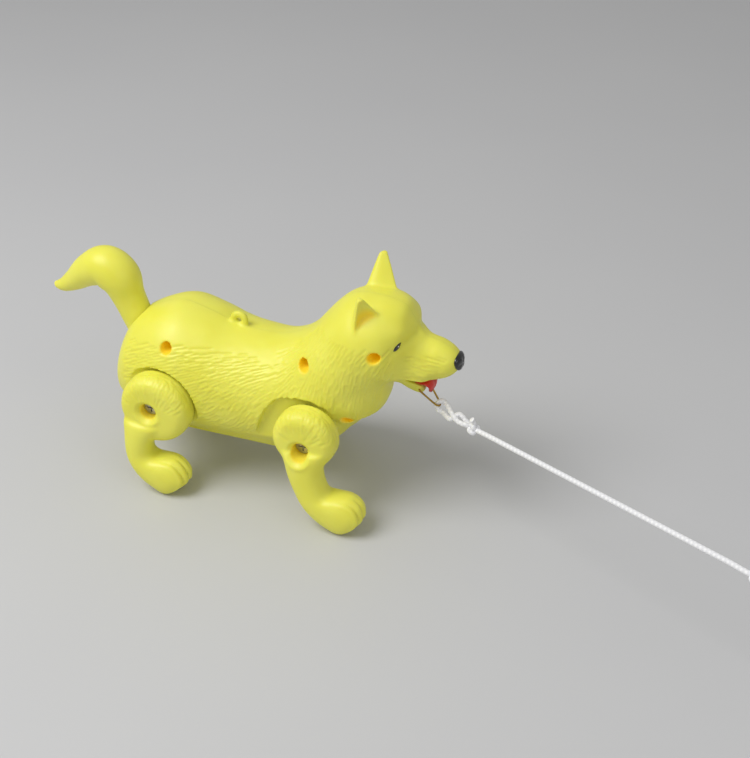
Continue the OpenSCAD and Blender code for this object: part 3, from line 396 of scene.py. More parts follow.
# Body and head: two halves moulded in soft lemon-yellow plastic, closed by four screws from
# the right side. The coat is carved in strokes, and the leg panels are sunk and plain.
body_stations = [
    # low x, low z, high x, high z, half width, height of the widest part, squareness low, high
    (-75.5, 41, -75.5, 53, 5, 0.5, 1, 1),
    (-73.5, 35.5, -73, 64, 14, 0.5, 1, 1),
    (-69.5, 34, -68, 77, 21, 0.5, 0.95, 1),
    (-62, 31, -61.5, 85.5, 26.5, 0.5, 0.92, 0.96),
    (-50, 28.5, -50, 92.5, 30, 0.5, 0.92, 0.92),
    (-35, 27, -36, 97, 32, 0.5, 0.92, 0.92),
    (-20, 26.5, -21, 93.8, 32, 0.48, 0.92, 0.92),
    (-5, 26, -6, 88.8, 31, 0.48, 0.92, 0.92),
    (10, 26, 8, 87.5, 30, 0.48, 0.92, 0.95),
    (25, 26.5, 20, 88, 29.5, 0.48, 0.92, 1),
    (40, 28.5, 30, 91.6, 29, 0.48, 0.95, 1),
    (53, 34.5, 38, 97.6, 28.5, 0.5, 1, 1),
    (64, 44, 45, 106.2, 28, 0.5, 1, 1),
    (71.5, 54, 51, 113.2, 27.5, 0.52, 1, 1),
    (75.5, 63, 57, 118.2, 27, 0.54, 1, 1),
    (78, 70, 64, 121, 26.5, 0.54, 1, 1),
    (80, 73, 72, 121, 25.5, 0.52, 1, 0.95),
    (82.5, 73.5, 80, 120.5, 23, 0.5, 1, 0.9),
    (85, 73, 87, 118, 19, 0.5, 1, 0.9),
    (88, 71.2, 91.2, 112, 15, 0.5, 1, 0.9),
    (91, 70.2, 94.4, 106.4, 13, 0.5, 1, 0.9),
    (94, 69.6, 97.6, 103, 12, 0.5, 1, 0.9),
    (96.5, 70.2, 101.4, 101.8, 11.2, 0.5, 1, 0.9),
    (100, 76.5, 104.8, 100.9, 10.5, 0.5, 1, 0.9),
    (104.5, 79.5, 108, 99.5, 9.6, 0.5, 1, 0.9),
    (109, 81.5, 111, 97.8, 8.6, 0.5, 1, 0.95),
    (112.8, 84.3, 113.6, 95.6, 6.6, 0.5, 1, 1),
    (115.4, 87.8, 115.6, 93, 3.2, 0.5, 1, 1),
]


def section(station, sides):
    """One ring of the body: a squared oval between its low and its high edge."""
    low_x, low_z, high_x, high_z, half_w, middle, square_low, square_high = station
    a = np.arange(sides) * 2 * math.pi / sides - math.pi / 2
    rise = np.sin(a)
    square = np.where(rise < 0, square_low, square_high)
    share = middle + np.sign(rise) * np.abs(rise) ** square * np.where(rise < 0, middle, 1 - middle)
    wide = -np.sign(np.cos(a)) * np.abs(np.cos(a)) ** square * half_w
    return np.column_stack([low_x + (high_x - low_x) * share, wide, low_z + (high_z - low_z) * share])


# Ears: grown out of the crown in the same moulding, upright, with a hollow front and a rounded
# back. The right one stands lower, as the toy in the picture leans to that side.
ear_up = unit((-4, -3.4, 19))
ear_back = unit(np.cross(ear_up, (11, 10, 6.5)))
ear_across = np.cross(ear_back, ear_up)
ear_len, ear_root, ear_half_w, ear_bulge, ear_wall = 22.5, 5, 11, 19, 2.8
right_ear = np.array((74.6, -17.0, 106.4))
left_ear = np.array((72.9, 17.0, 112.6))


def ear_spread(share):
    """Half width and depth of an ear at a share of its length."""
    return ear_half_w * (1.03 - share) ** 0.8 + 0.6, ear_bulge * (1 - 0.88 * share)


turn = np.arange(40) * 2 * math.pi / 40
across, through = np.sin(turn), np.cos(turn)
ear_rings = []
for s in np.linspace(0, 1, 24):
    wide, deep = ear_spread(s)
    back = np.where(through > 0, 1, 0.45) * deep * (1 - across**2) + ear_wall * through / 2
    middle = ear_up * (s * (ear_len + ear_root) - ear_root)
    ear_rings.append(middle + np.outer(wide * across, ear_across) + np.outer(back, ear_back))
ear_rings = np.array(ear_rings)
ears = [lofted(ear_rings + right_ear), lofted(ear_rings[:, ::-1] * (1, -1, 1) + left_ear)]

# Ring on the back: a small upright eyelet in the same moulding, half of it on each shell. A
# string or a hook may go through it.
eyelet_x, eyelet_z, eyelet_r, eyelet_wire_r = -5, 91.0, 3.2, 1.9
a = np.linspace(0, 2 * math.pi, 40)
eyelet_route = np.column_stack([eyelet_x + eyelet_r * np.cos(a), 0 * a, eyelet_z + eyelet_r * np.sin(a)])
eyelet = lofted(tube(eyelet_route, eyelet_wire_r, 20))


def joined(skins):
    """Several skins as one list of points and one of faces."""
    points, faces, n = [], [], 0
    for p, f in skins:
        points.append(p)
        faces += [tuple(i + n for i in face) for face in f]
        n += len(p)
    return np.vstack(points), faces


def scratch(skin):
    """A passing mesh object in millimetres."""
    mesh = bpy.data.meshes.new("scratch")
    mesh.from_pydata([tuple(p) for p in skin[0]], [], skin[1])
    facing = bmesh.new()
    facing.from_mesh(mesh)
    bmesh.ops.recalc_face_normals(facing, faces=facing.faces)
    facing.to_mesh(mesh)
    facing.free()
    made = bpy.data.objects.new("scratch", mesh)
    scene.collection.objects.link(made)
    return made


def worked(made):
    """Points and faces with the modifiers done. The passing object is taken away."""
    seen = bpy.context.evaluated_depsgraph_get()
    mesh = bpy.data.meshes.new_from_object(made.evaluated_get(seen))
    bpy.data.objects.remove(made)
    points = np.empty(len(mesh.vertices) * 3)
    mesh.vertices.foreach_get("co", points)
    return points.reshape(-1, 3), [tuple(f.vertices) for f in mesh.polygons]


def skinned(skin, voxel):
    """One unbroken skin over closed forms that run into each other."""
    made = scratch(skin)
    remesh = made.modifiers.new("skin", "REMESH")
    remesh.voxel_size = voxel
    remesh.mode = "VOXEL"
    return worked(made)


body_voxel = 0.7
body_rings = [section(s, 96) for s in curved(body_stations, 7)]
body = skinned(joined([lofted(body_rings), *ears, eyelet]), body_voxel)

# Seats of the legs, moulded into the sides of the shells: the sunk panels at the front lean
# forward as they rise, and the pockets at the back are round.
shoulder = (44, 45)
hip = (-42, 49)
front_disc = (44.8, 50)
hind_disc = (-39.5, 49.4)
panel = [(9, 20), (90, 20), (90, 55), (64, 56), (57.5, 59), (52.3, 65), (45.5, 67.7), (38, 67.8)]
panel += [(30.2, 66.6), (25.4, 64.2), (20.5, 58.4), (17, 50), (14, 41), (10.5, 30)]
panel_y, pocket_y, past_y = 25.6, 27.5, 60
hind_pocket_r = 21


def rod_y(x, z, r, y0, y1, sides=48):
    """A round bar along Y."""
    turn = np.arange(sides) * 2 * math.pi / sides
    ring = np.column_stack([x + r * np.cos(turn), np.zeros(sides), z + r * np.sin(turn)])
    return lofted([ring + (0, y1, 0), ring + (0, y0, 0)])


def slab_y(outline, y0, y1):
    """A flat outline in X and Z, given turning from +X to +Z, drawn out along Y."""
    ring = np.array([(x, 0, z) for x, z in outline], float)
    return lofted([ring + (0, y1, 0), ring + (0, y0, 0)])


def span(side, inner, outer):
    """From inner to outer on one side of the body, -1 right or 1 left: lower Y first."""
    return sorted((side * inner, side * outer))


def cut(skin, tools, keep=False):
    """The form with the tools cut out of it, or with only what lies inside them."""
    made = scratch(skin)
    tool = scratch(tools)
    saw = made.modifiers.new("cut", "BOOLEAN")
    saw.operation = "INTERSECT" if keep else "DIFFERENCE"
    saw.solver = "EXACT"
    saw.object = tool
    left = worked(made)
    bpy.data.objects.remove(tool)
    return left


pockets = []
for side in (-1, 1):
    pockets.append(slab_y(panel, *span(side, panel_y, past_y)))
    pockets.append(rod_y(*hind_disc, hind_pocket_r, *span(side, pocket_y, past_y), 90))
body = cut(body, joined(pockets))

# Openings, moulded with the shells: the screw holes, the mouth, the battery bay, the slot of the
# switch, the socket of the tail and the round holes that the crank pins reach through.
screw_places = [(-35, 82), (40, 85), (78, 98.5), (63, 57)]
screw_hole_r, screw_floor_y = 3.0, -9.9
mouth = [(86, 78.6), (93.5, 77), (97.1, 75.5), (97.5, 66), (110, 66), (108, 80.4), (90, 79.4)]
battery_bay, battery_bay_half_w = [(-37.5, 10), (29.5, 10), (29.5, 29.4), (-37.5, 29.4)], 16.6
switch_slot, switch_slot_half_w = [(-52.9, 10), (-43.3, 10), (-43.3, 33), (-52.9, 33)], 2.3
tail_seat = np.array((-62.5, 0, 76.5))
tail_dir = unit((-0.5, 0, 0.866))
tail_seat_r = 8.75
tools = [rod_y(x, z, screw_hole_r, -past_y, screw_floor_y) for x, z in screw_places]
tools.append(slab_y(mouth, -past_y, past_y))
tools.append(slab_y(battery_bay, -battery_bay_half_w, battery_bay_half_w))
tools.append(slab_y(switch_slot, -switch_slot_half_w, switch_slot_half_w))
tools.append(lofted(tube([tail_seat, tail_seat + 60 * tail_dir], tail_seat_r, 48)))
crank_axis, crank_opening_r = (44, 56), 8.0
openings = [rod_y(*crank_axis, crank_opening_r, *span(side, 19, 29)) for side in (-1, 1)]
body = cut(body, joined(tools + openings))

# Pads and posts, moulded with the shells: the front discs lie over the pads, every leg turns on
# its post, and a peg stops each hind leg.
pad_r, pad_root_y = 13, 20
post_r, post_root_y, post_end_y = 2.9, 25, 33.3
stop_peg_r, stop_peg_over_hip, stop_peg_end_y = 1.35, 13, 30.9
pads = [rod_y(*front_disc, pad_r, *span(side, pad_root_y, pocket_y)) for side in (-1, 1)]
posts = [cut(joined(pads), joined(openings))]
for side in (-1, 1):
    for x, z in (shoulder, hip):
        posts.append(rod_y(x, z, post_r, *span(side, post_root_y, post_end_y)))
    peg_z = hip[1] + stop_peg_over_hip
    posts.append(rod_y(hip[0], peg_z, stop_peg_r, *span(side, post_root_y, stop_peg_end_y)))


class Clay:
    """A skin that is worked: its points, their normals and neighbours."""

    def __init__(self, skin):
        self.p, self.faces = skin
        mesh = bpy.data.meshes.new("clay")
        mesh.from_pydata([tuple(p) for p in self.p], [], self.faces)
        edges = np.empty(len(mesh.edges) * 2, int)
        mesh.edges.foreach_get("vertices", edges)
        self.edges = edges.reshape(-1, 2)
        self.count = np.bincount(edges, minlength=len(self.p))[:, None]
        self.mesh = mesh

    def normals(self):
        self.mesh.vertices.foreach_set("co", self.p.ravel())
        self.mesh.update()
        n = np.empty(len(self.p) * 3, np.float32)
        self.mesh.vertex_normals.foreach_get("vector", n)
        return n.reshape(-1, 3).astype(float)

    def ease(self, rounds, share=1.0):
        """Draws each point toward the middle of its neighbours, round after round."""
        a, b = self.edges.T
        for _ in range(rounds):
            near = np.column_stack([
                np.bincount(a, self.p[b, k], len(self.p)) + np.bincount(b, self.p[a, k], len(self.p))
                for k in range(3)
            ]) / self.count
            self.p = self.p + (near - self.p) * 0.5 * np.reshape(share, (-1, 1))
        return self

    def push(self, depth):
        """Moves each point along its normal."""
        self.p = self.p + self.normals() * np.reshape(depth, (-1, 1))
        return self

    def skin(self):
        return self.p, self.faces


coat_voxel = 0.62
coat = Clay(skinned(joined([body, *posts]), coat_voxel)).ease(3)


# Head: worked over the plain form of the shells, with a stop and brows, cheeks, lips and a
# narrow lower jaw.
def step(value, low, high):
    """0 below low, 1 above high, and soft between."""
    t = np.clip((value - low) / (high - low), 0, 1)
    return t * t * (3 - 2 * t)


def mound(p, at, r):
    """1 at a point and falling softly to 0 about two radii away. The two sides are alike."""
    off = np.column_stack([p[:, 0], np.abs(p[:, 1]), p[:, 2]]) - np.array(at, float)
    return np.exp(-((off / np.array(r, float)) ** 2).sum(1))


def to_line(p, line):
    """Distance of points from a line through points, and the share along it."""
    line = np.array(line, float)
    best = np.full(len(p), 1e9)
    share = np.zeros(len(p))
    for i in range(len(line) - 1):
        d = line[i + 1] - line[i]
        t = np.clip((p - line[i]) @ d / (d @ d), 0, 1)
        far = np.linalg.norm(p - line[i] - t[:, None] * d, axis=1)
        nearer = far < best
        best[nearer] = far[nearer]
        share[nearer] = (i + t[nearer]) / (len(line) - 1)
    return best, share


p = coat.p
off_side = np.column_stack([p[:, 0], np.abs(p[:, 1]), p[:, 2]])
lip_x, lip_z = (77, 83, 90, 98, 106), (84.5, 82.6, 81.6, 81, 81.4)
under_lip = np.interp(p[:, 0], lip_x, lip_z) - p[:, 2]
jaw = step(p[:, 0], 77, 82) * step(under_lip, -0.4, 1.6) * step(p[:, 2], 55, 68)
coat.p[:, 1] *= 1 - 0.3 * jaw
brow_line = [(95, 4, 106.5), (93, 9, 105.5), (90.2, 13.8, 103.6), (86.5, 18, 100.4)]
far, share = to_line(off_side, brow_line)
work = -1.1 * np.exp(-((far / 2.2) ** 2)) * (1 - 0.5 * share)
for rise, at, reach in (
    (1.0, (88, 13, 109), (5, 6, 4)),  # brows
    (0.7, (79, 19, 90), (7, 8, 7)),  # cheeks
    (-0.8, (92, 12, 92), (4, 5, 7)),  # hollows behind the muzzle
    (0.5, (100, 9, 86), (9, 5, 3.5)),  # lips
):
    work += rise * mound(p, at, reach)
coat.push(work)


# Breast and belly: the ruff swells and ends in a step above the plain lower breast. A rim round
# the battery cover reaches as low as the cover does.
def off_screws(x, z, near, far):
    """0 at the screw holes and 1 well away from them."""
    clear = 1
    for hole_x, hole_z in screw_places:
        clear = clear * step(np.hypot(x - hole_x, z - hole_z), near, far)
    return clear


x, y, z = coat.p.T
ruff_z = 57.3
lower = step(ruff_z - z, -0.8, 0.9) * step(x, 52, 60) * step(z, 20, 34) * off_screws(x, z, 3.6, 6)
swell = step(z, 56.6, 58.4) * (1 - step(z, 62, 75)) * step(x, 58, 68)
coat.push(2.6 * swell - 1.6 * lower)
x, y, z = coat.p.T
wide = np.abs(y)
bay_ends = np.maximum(step(x, 28.6, 29.4), step(-x, 36.6, 37.4))
rim = np.maximum(step(wide, 15.8, 17.2), step(wide, 7, 14.5) * bay_ends)
rim *= (1 - step(wide, 21, 27)) * (1 - step(z, 29.5, 34))
coat.p[:, 2] -= 2.7 * rim * step(x, -46, -38) * (1 - step(x, 29, 36))


# Coat: strokes cut into the mould of the shells. They lie nearly level at the hip, steepen toward
# the shoulder and the neck, and leave the seats of the legs and the screw holes plain.
def laid_on(heading, n):
    """Headings turned to lie in the surface whose normals are n."""
    heading = heading - n * (heading * n).sum(1)[:, None]
    return heading / (np.linalg.norm(heading, axis=1)[:, None] + 1e-9)


def carve(clay, seeds, headings, lengths, widths, depths):
    """Strokes of a round gouge: each runs along its heading and fades at both ends."""
    tree = KDTree(len(clay.p))
    for i, p in enumerate(clay.p):
        tree.insert(p, i)
    tree.balance()
    depth = np.zeros(len(clay.p))
    for p, d, length, wide, deep in zip(seeds, headings, lengths, widths, depths):
        found = [i for _, i, _ in tree.find_range(p, length * 0.6)]
        off = clay.p[found] - p
        run = off @ d
        aside2 = (off * off).sum(1) - run * run
        fade = 1 - step(np.abs(run), 0.25 * length, 0.55 * length)
        depth[found] = np.maximum(depth[found], deep * np.exp(-aside2 / wide**2) * fade)
    return clay.push(-depth)


def strokes(clay, wanted, heading, spacing, length, seed, most):
    """Places for strokes where wanted is high, none too near the one beside it."""
    draw = np.random.default_rng(seed)
    places = np.flatnonzero(draw.random(len(clay.p)) < wanted)
    draw.shuffle(places)
    kept, dirs = np.empty((most, 3)), np.empty((most, 3))
    n = 0
    for i in places:
        p, d = clay.p[i], heading[i]
        off = kept[:n] - p
        run = off @ d
        aside2 = (off * off).sum(1) - run * run
        if n and ((np.abs(run) < 0.8 * length) & (aside2 < spacing**2)).any():
            continue
        kept[n], dirs[n] = p, d
        n += 1
        if n == most:
            break
    return kept[:n], dirs[:n], draw


p, n = coat.p, coat.normals()
x, y, z = p.T
wide = np.abs(y)
lean = 20 + 32 * step(x, -38, 10) * step(88 - z, 0, 40)
lean = lean + (62 - lean) * step(x, 14, 36)
lean = lean + 18 * step(x, 36, 48) * (1 - step(z, 84, 100))
lean = lean - 25 * step(x, 66, 80) * step(z, 84, 96)
lean = np.where(x > 88, -8, lean)
heading = np.column_stack([np.cos(np.radians(lean)), 0 * x, np.sin(np.radians(lean))])
heading = laid_on(heading, n)
in_panel = step(panel_y + 1.0 - wide, -0.3, 0.3) * (x > 8) * (x < 66) * (z < 69)
in_pocket = (np.hypot(x - hind_disc[0], z - hind_disc[1]) < hind_pocket_r + 0.6) * (wide < 28.2)
flank = step(x, -62, -48) * (1 - step(x, 16, 30))
flank *= step(86 - z - 0.1 * np.abs(x + 20), 0, 12) * step(z, 26, 31)
ruff = step(x, 22, 36) * (1 - step(x, 80, 86)) * step(wide, 9, 15) * step(106 - z, 0, 8) * step(z, 57, 60)
ruff *= 1 - step(x - 40, 0, 8) * step(z, 97, 103)
muzzle = 0.6 * step(x, 89, 95) * (1 - step(x, 105, 110)) * step(97 - z, 0, 4) * step(z, 81.5, 84)
furred = np.maximum(np.maximum(flank, ruff), muzzle)
furred *= (1 - np.maximum(in_panel, in_pocket)) * (np.abs(n[:, 1]) > 0.25) * off_screws(x, z, 4.2, 6.5)
seeds, dirs, draw = strokes(coat, 0.4 * furred, heading, spacing=1.05, length=5.2, seed=11, most=2600)
size = draw.uniform(0.8, 1.25, len(seeds))
carve(coat, seeds, dirs, 7.5 * size, 0.42 + 0.16 * size, draw.uniform(0.3, 0.52, len(seeds)))

# Shells: the two halves parted on the middle plane, with a wall of about 3 mm or more and a boss
# round each screw. The hollows of the ears and the screw holes are painted a warmer orange with a
# faint glow: painted light, standing for light that comes through the plastic.
skin_finish, shader, place = finish(
    "lemon_plastic",
    Subsurface_Weight=0.22,
    Subsurface_Radius=(1.0, 0.75, 0.12),
    Subsurface_Scale=0.003,
    IOR=1.46,
    Emission_Strength=1.0,
)
# Painted light: this mark tints the ear hollows and the screw holes orange and makes them glow.
deep, _, _ = marked(place, "sunk")
lemon = place.grain(22, 3).between(0.3, 0.7).tone(linear(233, 229, 80), linear(238, 235, 94))
feed(
    shader,
    # painted light: warmer colour and a glow where the mark is high
    Base_Color=deep.tone(lemon, linear(242, 214, 52)),
    Emission_Color=deep.tone((0, 0, 0), linear(96, 74, 0)),
    Roughness=place.grain(5, 4).between(0.2, 0.8) * 0.12 + 0.36,
    height_mm=place.grain(0.5, 2) * 0.025 + place.grain(6, 2) * 0.05,
)
wall, boss_r, cavity_half_w, cavity_voxel = 2.4, 5.6, 22.5, 1.5
cavity_rows = np.array(body_stations[2:15])
up_row = cavity_rows[:, 2:4] - cavity_rows[:, 0:2]
up_row /= np.linalg.norm(up_row, axis=1)[:, None]
cavity_rows[:, 0:2] += 1.6 * wall * up_row
cavity_rows[:, 2:4] -= 1.3 * wall * up_row
cavity_rows[:, 4] = np.minimum(cavity_rows[:, 4] - 1.3 * wall, cavity_half_w)
cavity = lofted([section(s, 64) for s in curved(cavity_rows, 5)])
bosses = [rod_y(x, z, boss_r, -40, 40) for x, z in screw_places]
cavity = skinned(cut(cavity, joined(bosses)), cavity_voxel)
whole_side = [(-140, -20), (140, -20), (140, 200), (-140, 200)]


def ear_hollow(p, root, flip):
    """1 deep in the hollow of an ear, and 0 outside it and toward its tip."""
    off = (p - root) * (1, flip, 1)
    up, over, back = off @ ear_up, off @ ear_across, off @ ear_back
    wide, deep = ear_spread(np.clip((up + ear_root) / (ear_len + ear_root), 0, 1))
    middle = 0.7 * deep * (1 - np.clip(over / wide, -1, 1) ** 2)
    inside = (back < middle) * step(back, -0.5, 2.0) * (np.abs(over) < wide)
    return inside * step(up, -4, 1) * (1 - step(up, 11, 19))


for name, y0, y1 in (("body_shell_right", -80, 0.0), ("body_shell_left", 0.0, 80)):
    half = cut(cut(coat.skin(), slab_y(whole_side, y0, y1), keep=True), cavity)
    made = piece(name + "_moulded", half, skin_finish, "frame", (name,))
    x, y, z = half[0].T
    in_ears = np.maximum(ear_hollow(half[0], right_ear, 1), ear_hollow(half[0], left_ear, -1))
    # Painted light: the warm glow is painted into the ear hollows and the screw holes of the right shell.
    sunk = 0.8 * in_ears
    for hole_x, hole_z in screw_places:
        in_hole = 1 - step(np.hypot(x - hole_x, z - hole_z), 2.6, 4.2)
        sunk = np.maximum(sunk, in_hole * (y < -9))
    mark(made, "sunk", np.column_stack([sunk, 0 * x, 0 * x]))


# Eyes: slanted almonds of black enamel printed on the moulded lids, each with a small white dot that
# is a painted highlight. They follow the coat and stand a few tenths of a millimetre proud of it.
surface = BVHTree.FromPolygons([Vector(q) for q in coat.p], coat.faces)


def pressed_on(name, at, right, up, outline, rise, material):
    """A thin domed piece laid on the coat: outline gives its reach at each turn, in mm."""
    turn = np.arange(48) * 2 * math.pi / 48
    reach = np.array([outline(t) for t in turn])
    rings = []
    for i, share in enumerate((1.0, 1.0, 0.94, 0.8, 0.6, 0.35, 0.12)):
        ring = []
        for u, v in reach:
            found, normal, _, _ = surface.find_nearest(Vector(np.array(at) + share * (u * right + v * up)))
            lift = rise(share, share * u, share * v) if i else -0.5
            ring.append(np.array(found + normal * lift))
        rings.append(ring)
    return piece(name, lofted(rings), material, "frame")


def rounded(value, power):
    """A sine or cosine drawn out to a squarer or more pointed curve."""
    return math.copysign(abs(value) ** power, value)


enamel, shader, place = finish("black_enamel", Coat_Weight=0.6, Coat_Roughness=0.08)
feed(
    shader,
    Base_Color=place.grain(4, 2).tone(linear(9, 9, 10), linear(22, 21, 20)),
    Roughness=place.grain(1.5, 3).between(0.2, 0.8) * 0.1 + 0.2,
    height_mm=place.grain(1.2, 2) * 0.03,
)
# Painted highlight: a white dot for the glint of light on each eye.
eye_highlight_paint, shader, place = finish("eye_highlight_paint", Roughness=0.3)
feed(shader, Base_Color=place.grain(0.6, 2).tone(linear(236, 236, 232), linear(252, 252, 250)))
eye_x, eye_y, eye_z = 88.1, 16.6, 102.7
eye_half_len, eye_half_high = 2.9, 1.25
glint_half_len, glint_half_high = 0.42, 0.3
for eye_side, name in ((-1, "right"), (1, "left")):
    eye_at = np.array((eye_x, eye_y * eye_side, eye_z))
    found, out, _, _ = surface.find_nearest(Vector(eye_at))
    out = unit(out)
    eye_run = np.array((0.5, -0.61 * eye_side, 0.61))
    eye_right = unit(eye_run - out * np.dot(eye_run, out))
    eye_up = np.cross(out, eye_right) * -eye_side
    pressed_on(
        "eye_" + name, eye_at, eye_right, eye_up,
        lambda t: (eye_half_len * math.cos(t), eye_half_high * rounded(math.sin(t), 1.35)),
        lambda share, u, v: 0.10 + 0.22 * (1 - share**2), enamel,
    )
    # the painted highlight on the eye
    pressed_on(
        "eye_glint_" + name, np.array(found) + 0.55 * eye_right - 0.1 * eye_up, eye_right, eye_up,
        lambda t: (glint_half_len * math.cos(t), glint_half_high * math.sin(t)),
        lambda share, u, v: 0.34 + 0.05 * (1 - share**2), eye_highlight_paint,
    )

# Nose: a glossy black cap sprayed over the end of the muzzle, wider above than below, with a
# groove down its middle and two curled nostrils.
nose_at = (115.2, 0, 90.6)
nose_right, nose_up = np.array((0, -1, 0)), np.array((-0.25, 0, 0.97))
nose_half_w, nose_half_high = 6.4, 4.9


def nose_outline(t):
    high = nose_half_high * rounded(math.sin(t), 0.85)
    return nose_half_w * rounded(math.cos(t), 0.8) * (1 + 0.045 * high), high


def nose_rise(share, u, v):
    nostril = math.exp(-((math.hypot(abs(u) - 3.1, v - 0.2) / 1.05) ** 2))
    groove = math.exp(-((u / 0.5) ** 2)) * (1 if v < 1.5 else math.exp(-((v - 1.5) ** 2)))
    return 0.15 + 1.2 * math.sqrt(max(0.0, 1 - share**4)) - 0.9 * nostril - 0.5 * groove


pressed_on("nose", nose_at, nose_right, nose_up, nose_outline, nose_rise, enamel)

# Tail: one solid moulding in the plastic of the shells. It plugs into the rump, sweeps up and
# bends back to a soft point.
tail_plug_r = 8.55
tail_stations = [
    # x, z, radius
    (-65.5, 81.7, 8.3), (-70, 93, 9), (-74, 103, 11.3), (-82, 108, 11.2), (-92, 104, 9),
    (-101, 97, 6.3), (-108, 92.5, 4.2), (-112.6, 91.4, 2.6), (-114.6, 92.3, 1.0),
]
tail_plug = [tail_seat + deep * tail_dir for deep in (0.3, 3)]
tail_curve = curved([(q[0], q[2], tail_plug_r) for q in tail_plug] + tail_stations, 8)
tail_route = np.column_stack([tail_curve[:, 0], 0 * tail_curve[:, 0], tail_curve[:, 1]])
tail_rings = tube(tail_route, tail_curve[:, 2], 56)
tip, tip_run = tail_route[-1], tail_route[-1] - tail_route[-2]
tip_steps = ((0.8, 0.5), (0.45, 0.8), (0.15, 0.95))
tip_rings = [tip + (tail_rings[-1] - tip) * k + tip_run * h for k, h in tip_steps]
tail_rings = np.concatenate([tail_rings, tip_rings])
piece("tail_moulded", lofted(tail_rings), skin_finish, "frame", ("tail",))

# Tongue: a red shield of soft plastic that hangs over the lower lip, with a shallow fold
# down its middle. It is glued into the mouth.
tongue_half_thick = 1.25
tongue_stations = [
    # x, z, half width
    (93.7, 77.7, 6.2), (96.6, 78.0, 7.4), (99.2, 77.7, 7.4),
    (101.0, 76.0, 6.6), (101.3, 73.4, 5.2), (100.3, 70.9, 2.4),
]
tongue_curve = curved(tongue_stations, 7)
tongue_route = np.column_stack([tongue_curve[:, 0], 0 * tongue_curve[:, 0], tongue_curve[:, 1]])
run = np.gradient(tongue_route, axis=0)
run /= np.linalg.norm(run, axis=1)[:, None]
turn = np.arange(36) * 2 * math.pi / 36
tongue_rings = []
for q, d, half_w in zip(tongue_route, run, tongue_curve[:, 2]):
    across = half_w * np.cos(turn)
    fold = 1 - 0.35 * np.exp(-((across / 0.9) ** 2))
    thick = tongue_half_thick * np.sin(turn) * fold
    tongue_rings.append(q + np.outer(across, (0, 1, 0)) + np.outer(thick, -np.cross((0, 1, 0), d)))
tongue_rings.append(tongue_rings[-1] * 0.35 + tongue_rings[-1].mean(0) * 0.65 + run[-1] * 0.45)
tongue_finish, shader, place = finish(
    "tongue_red", Subsurface_Weight=0.1, Subsurface_Radius=(1, 0.3, 0.2), Subsurface_Scale=0.002
)
feed(
    shader,
    Base_Color=place.grain(4, 3).between(0.3, 0.7).tone(linear(196, 34, 24), linear(222, 52, 36)),
    Roughness=place.grain(1.5, 3).between(0.2, 0.8) * 0.12 + 0.3,
    height_mm=place.grain(0.7, 2) * 0.05,
)
piece("tongue_moulded", lofted(tongue_rings), tongue_finish, "frame", ("tongue",))

# Legs: each is one moulding in the plastic of the shells, a round upper disc run into a shank
# and a paw with four toes. A washer-head screw in the sunk hole holds it on its post.
limb_y = 38
front_stations = [
    # rear x, rear z, front x, front z, half width
    (33, 44, 59, 46, 6), (34.5, 39, 56.5, 40, 7.5), (36.5, 31, 55.5, 33.5, 8), (39.6, 22.5, 56.3, 27, 8.3),
    (44, 13.7, 58.8, 21.5, 8.8), (49.5, 6.8, 64.5, 21.8, 9.3), (57, 1.5, 71, 21.5, 9.6),
    (64.4, -0.6, 75.8, 17.8, 9.2), (72, 3.6, 77.5, 13, 7), (76, 8, 77.4, 10, 3),
]
hind_stations = [
    (-57.5, 42, -34, 40, 6), (-57, 35, -40.5, 32, 7.5), (-57, 27, -42.2, 27, 8), (-56.3, 20, -42.3, 23, 8.3),
    (-53.8, 13.5, -40, 21, 8.8), (-50, 7.7, -34.5, 21.3, 9.3), (-44, 2.8, -28.5, 20.8, 9.6),
    (-36, -0.6, -24.2, 17.2, 9.2), (-28.4, 3, -21.8, 12.8, 7), (-24, 7, -21.6, 9.6, 3),
]
leg_inner_y, disc_round_y, disc_round_r = 28.2, 35.2, 6
leg_hole_r, leg_bore_r, leg_hole_floor_y = 4.4, 3.35, -33.0
toe_w = 4.7
leg_voxel = 0.6


def rings_y(centre, profile, sides=90):
    """A turned form along Y, from pairs of radius and Y."""
    turn = np.arange(sides) * 2 * math.pi / sides
    return lofted([
        np.column_stack([centre[0] + r * np.cos(turn), np.full(sides, y), centre[1] + r * np.sin(turn)])
        for r, y in profile
    ])


def limb_ring(station):
    """One ring of the shank or paw, flat where it meets the ground."""
    rear_x, rear_z, front_x, front_z, half_w = station
    turn = np.arange(56) * 2 * math.pi / 56 - math.pi / 2
    square = 0.85
    rise = 0.5 + np.sign(np.sin(turn)) * np.abs(np.sin(turn)) ** square / 2
    wide = np.sign(np.cos(turn)) * np.abs(np.cos(turn)) ** square
    high = np.maximum(rear_z + (front_z - rear_z) * rise, 0)
    return np.column_stack([rear_x + (front_x - rear_x) * rise, -limb_y - half_w * wide, high])


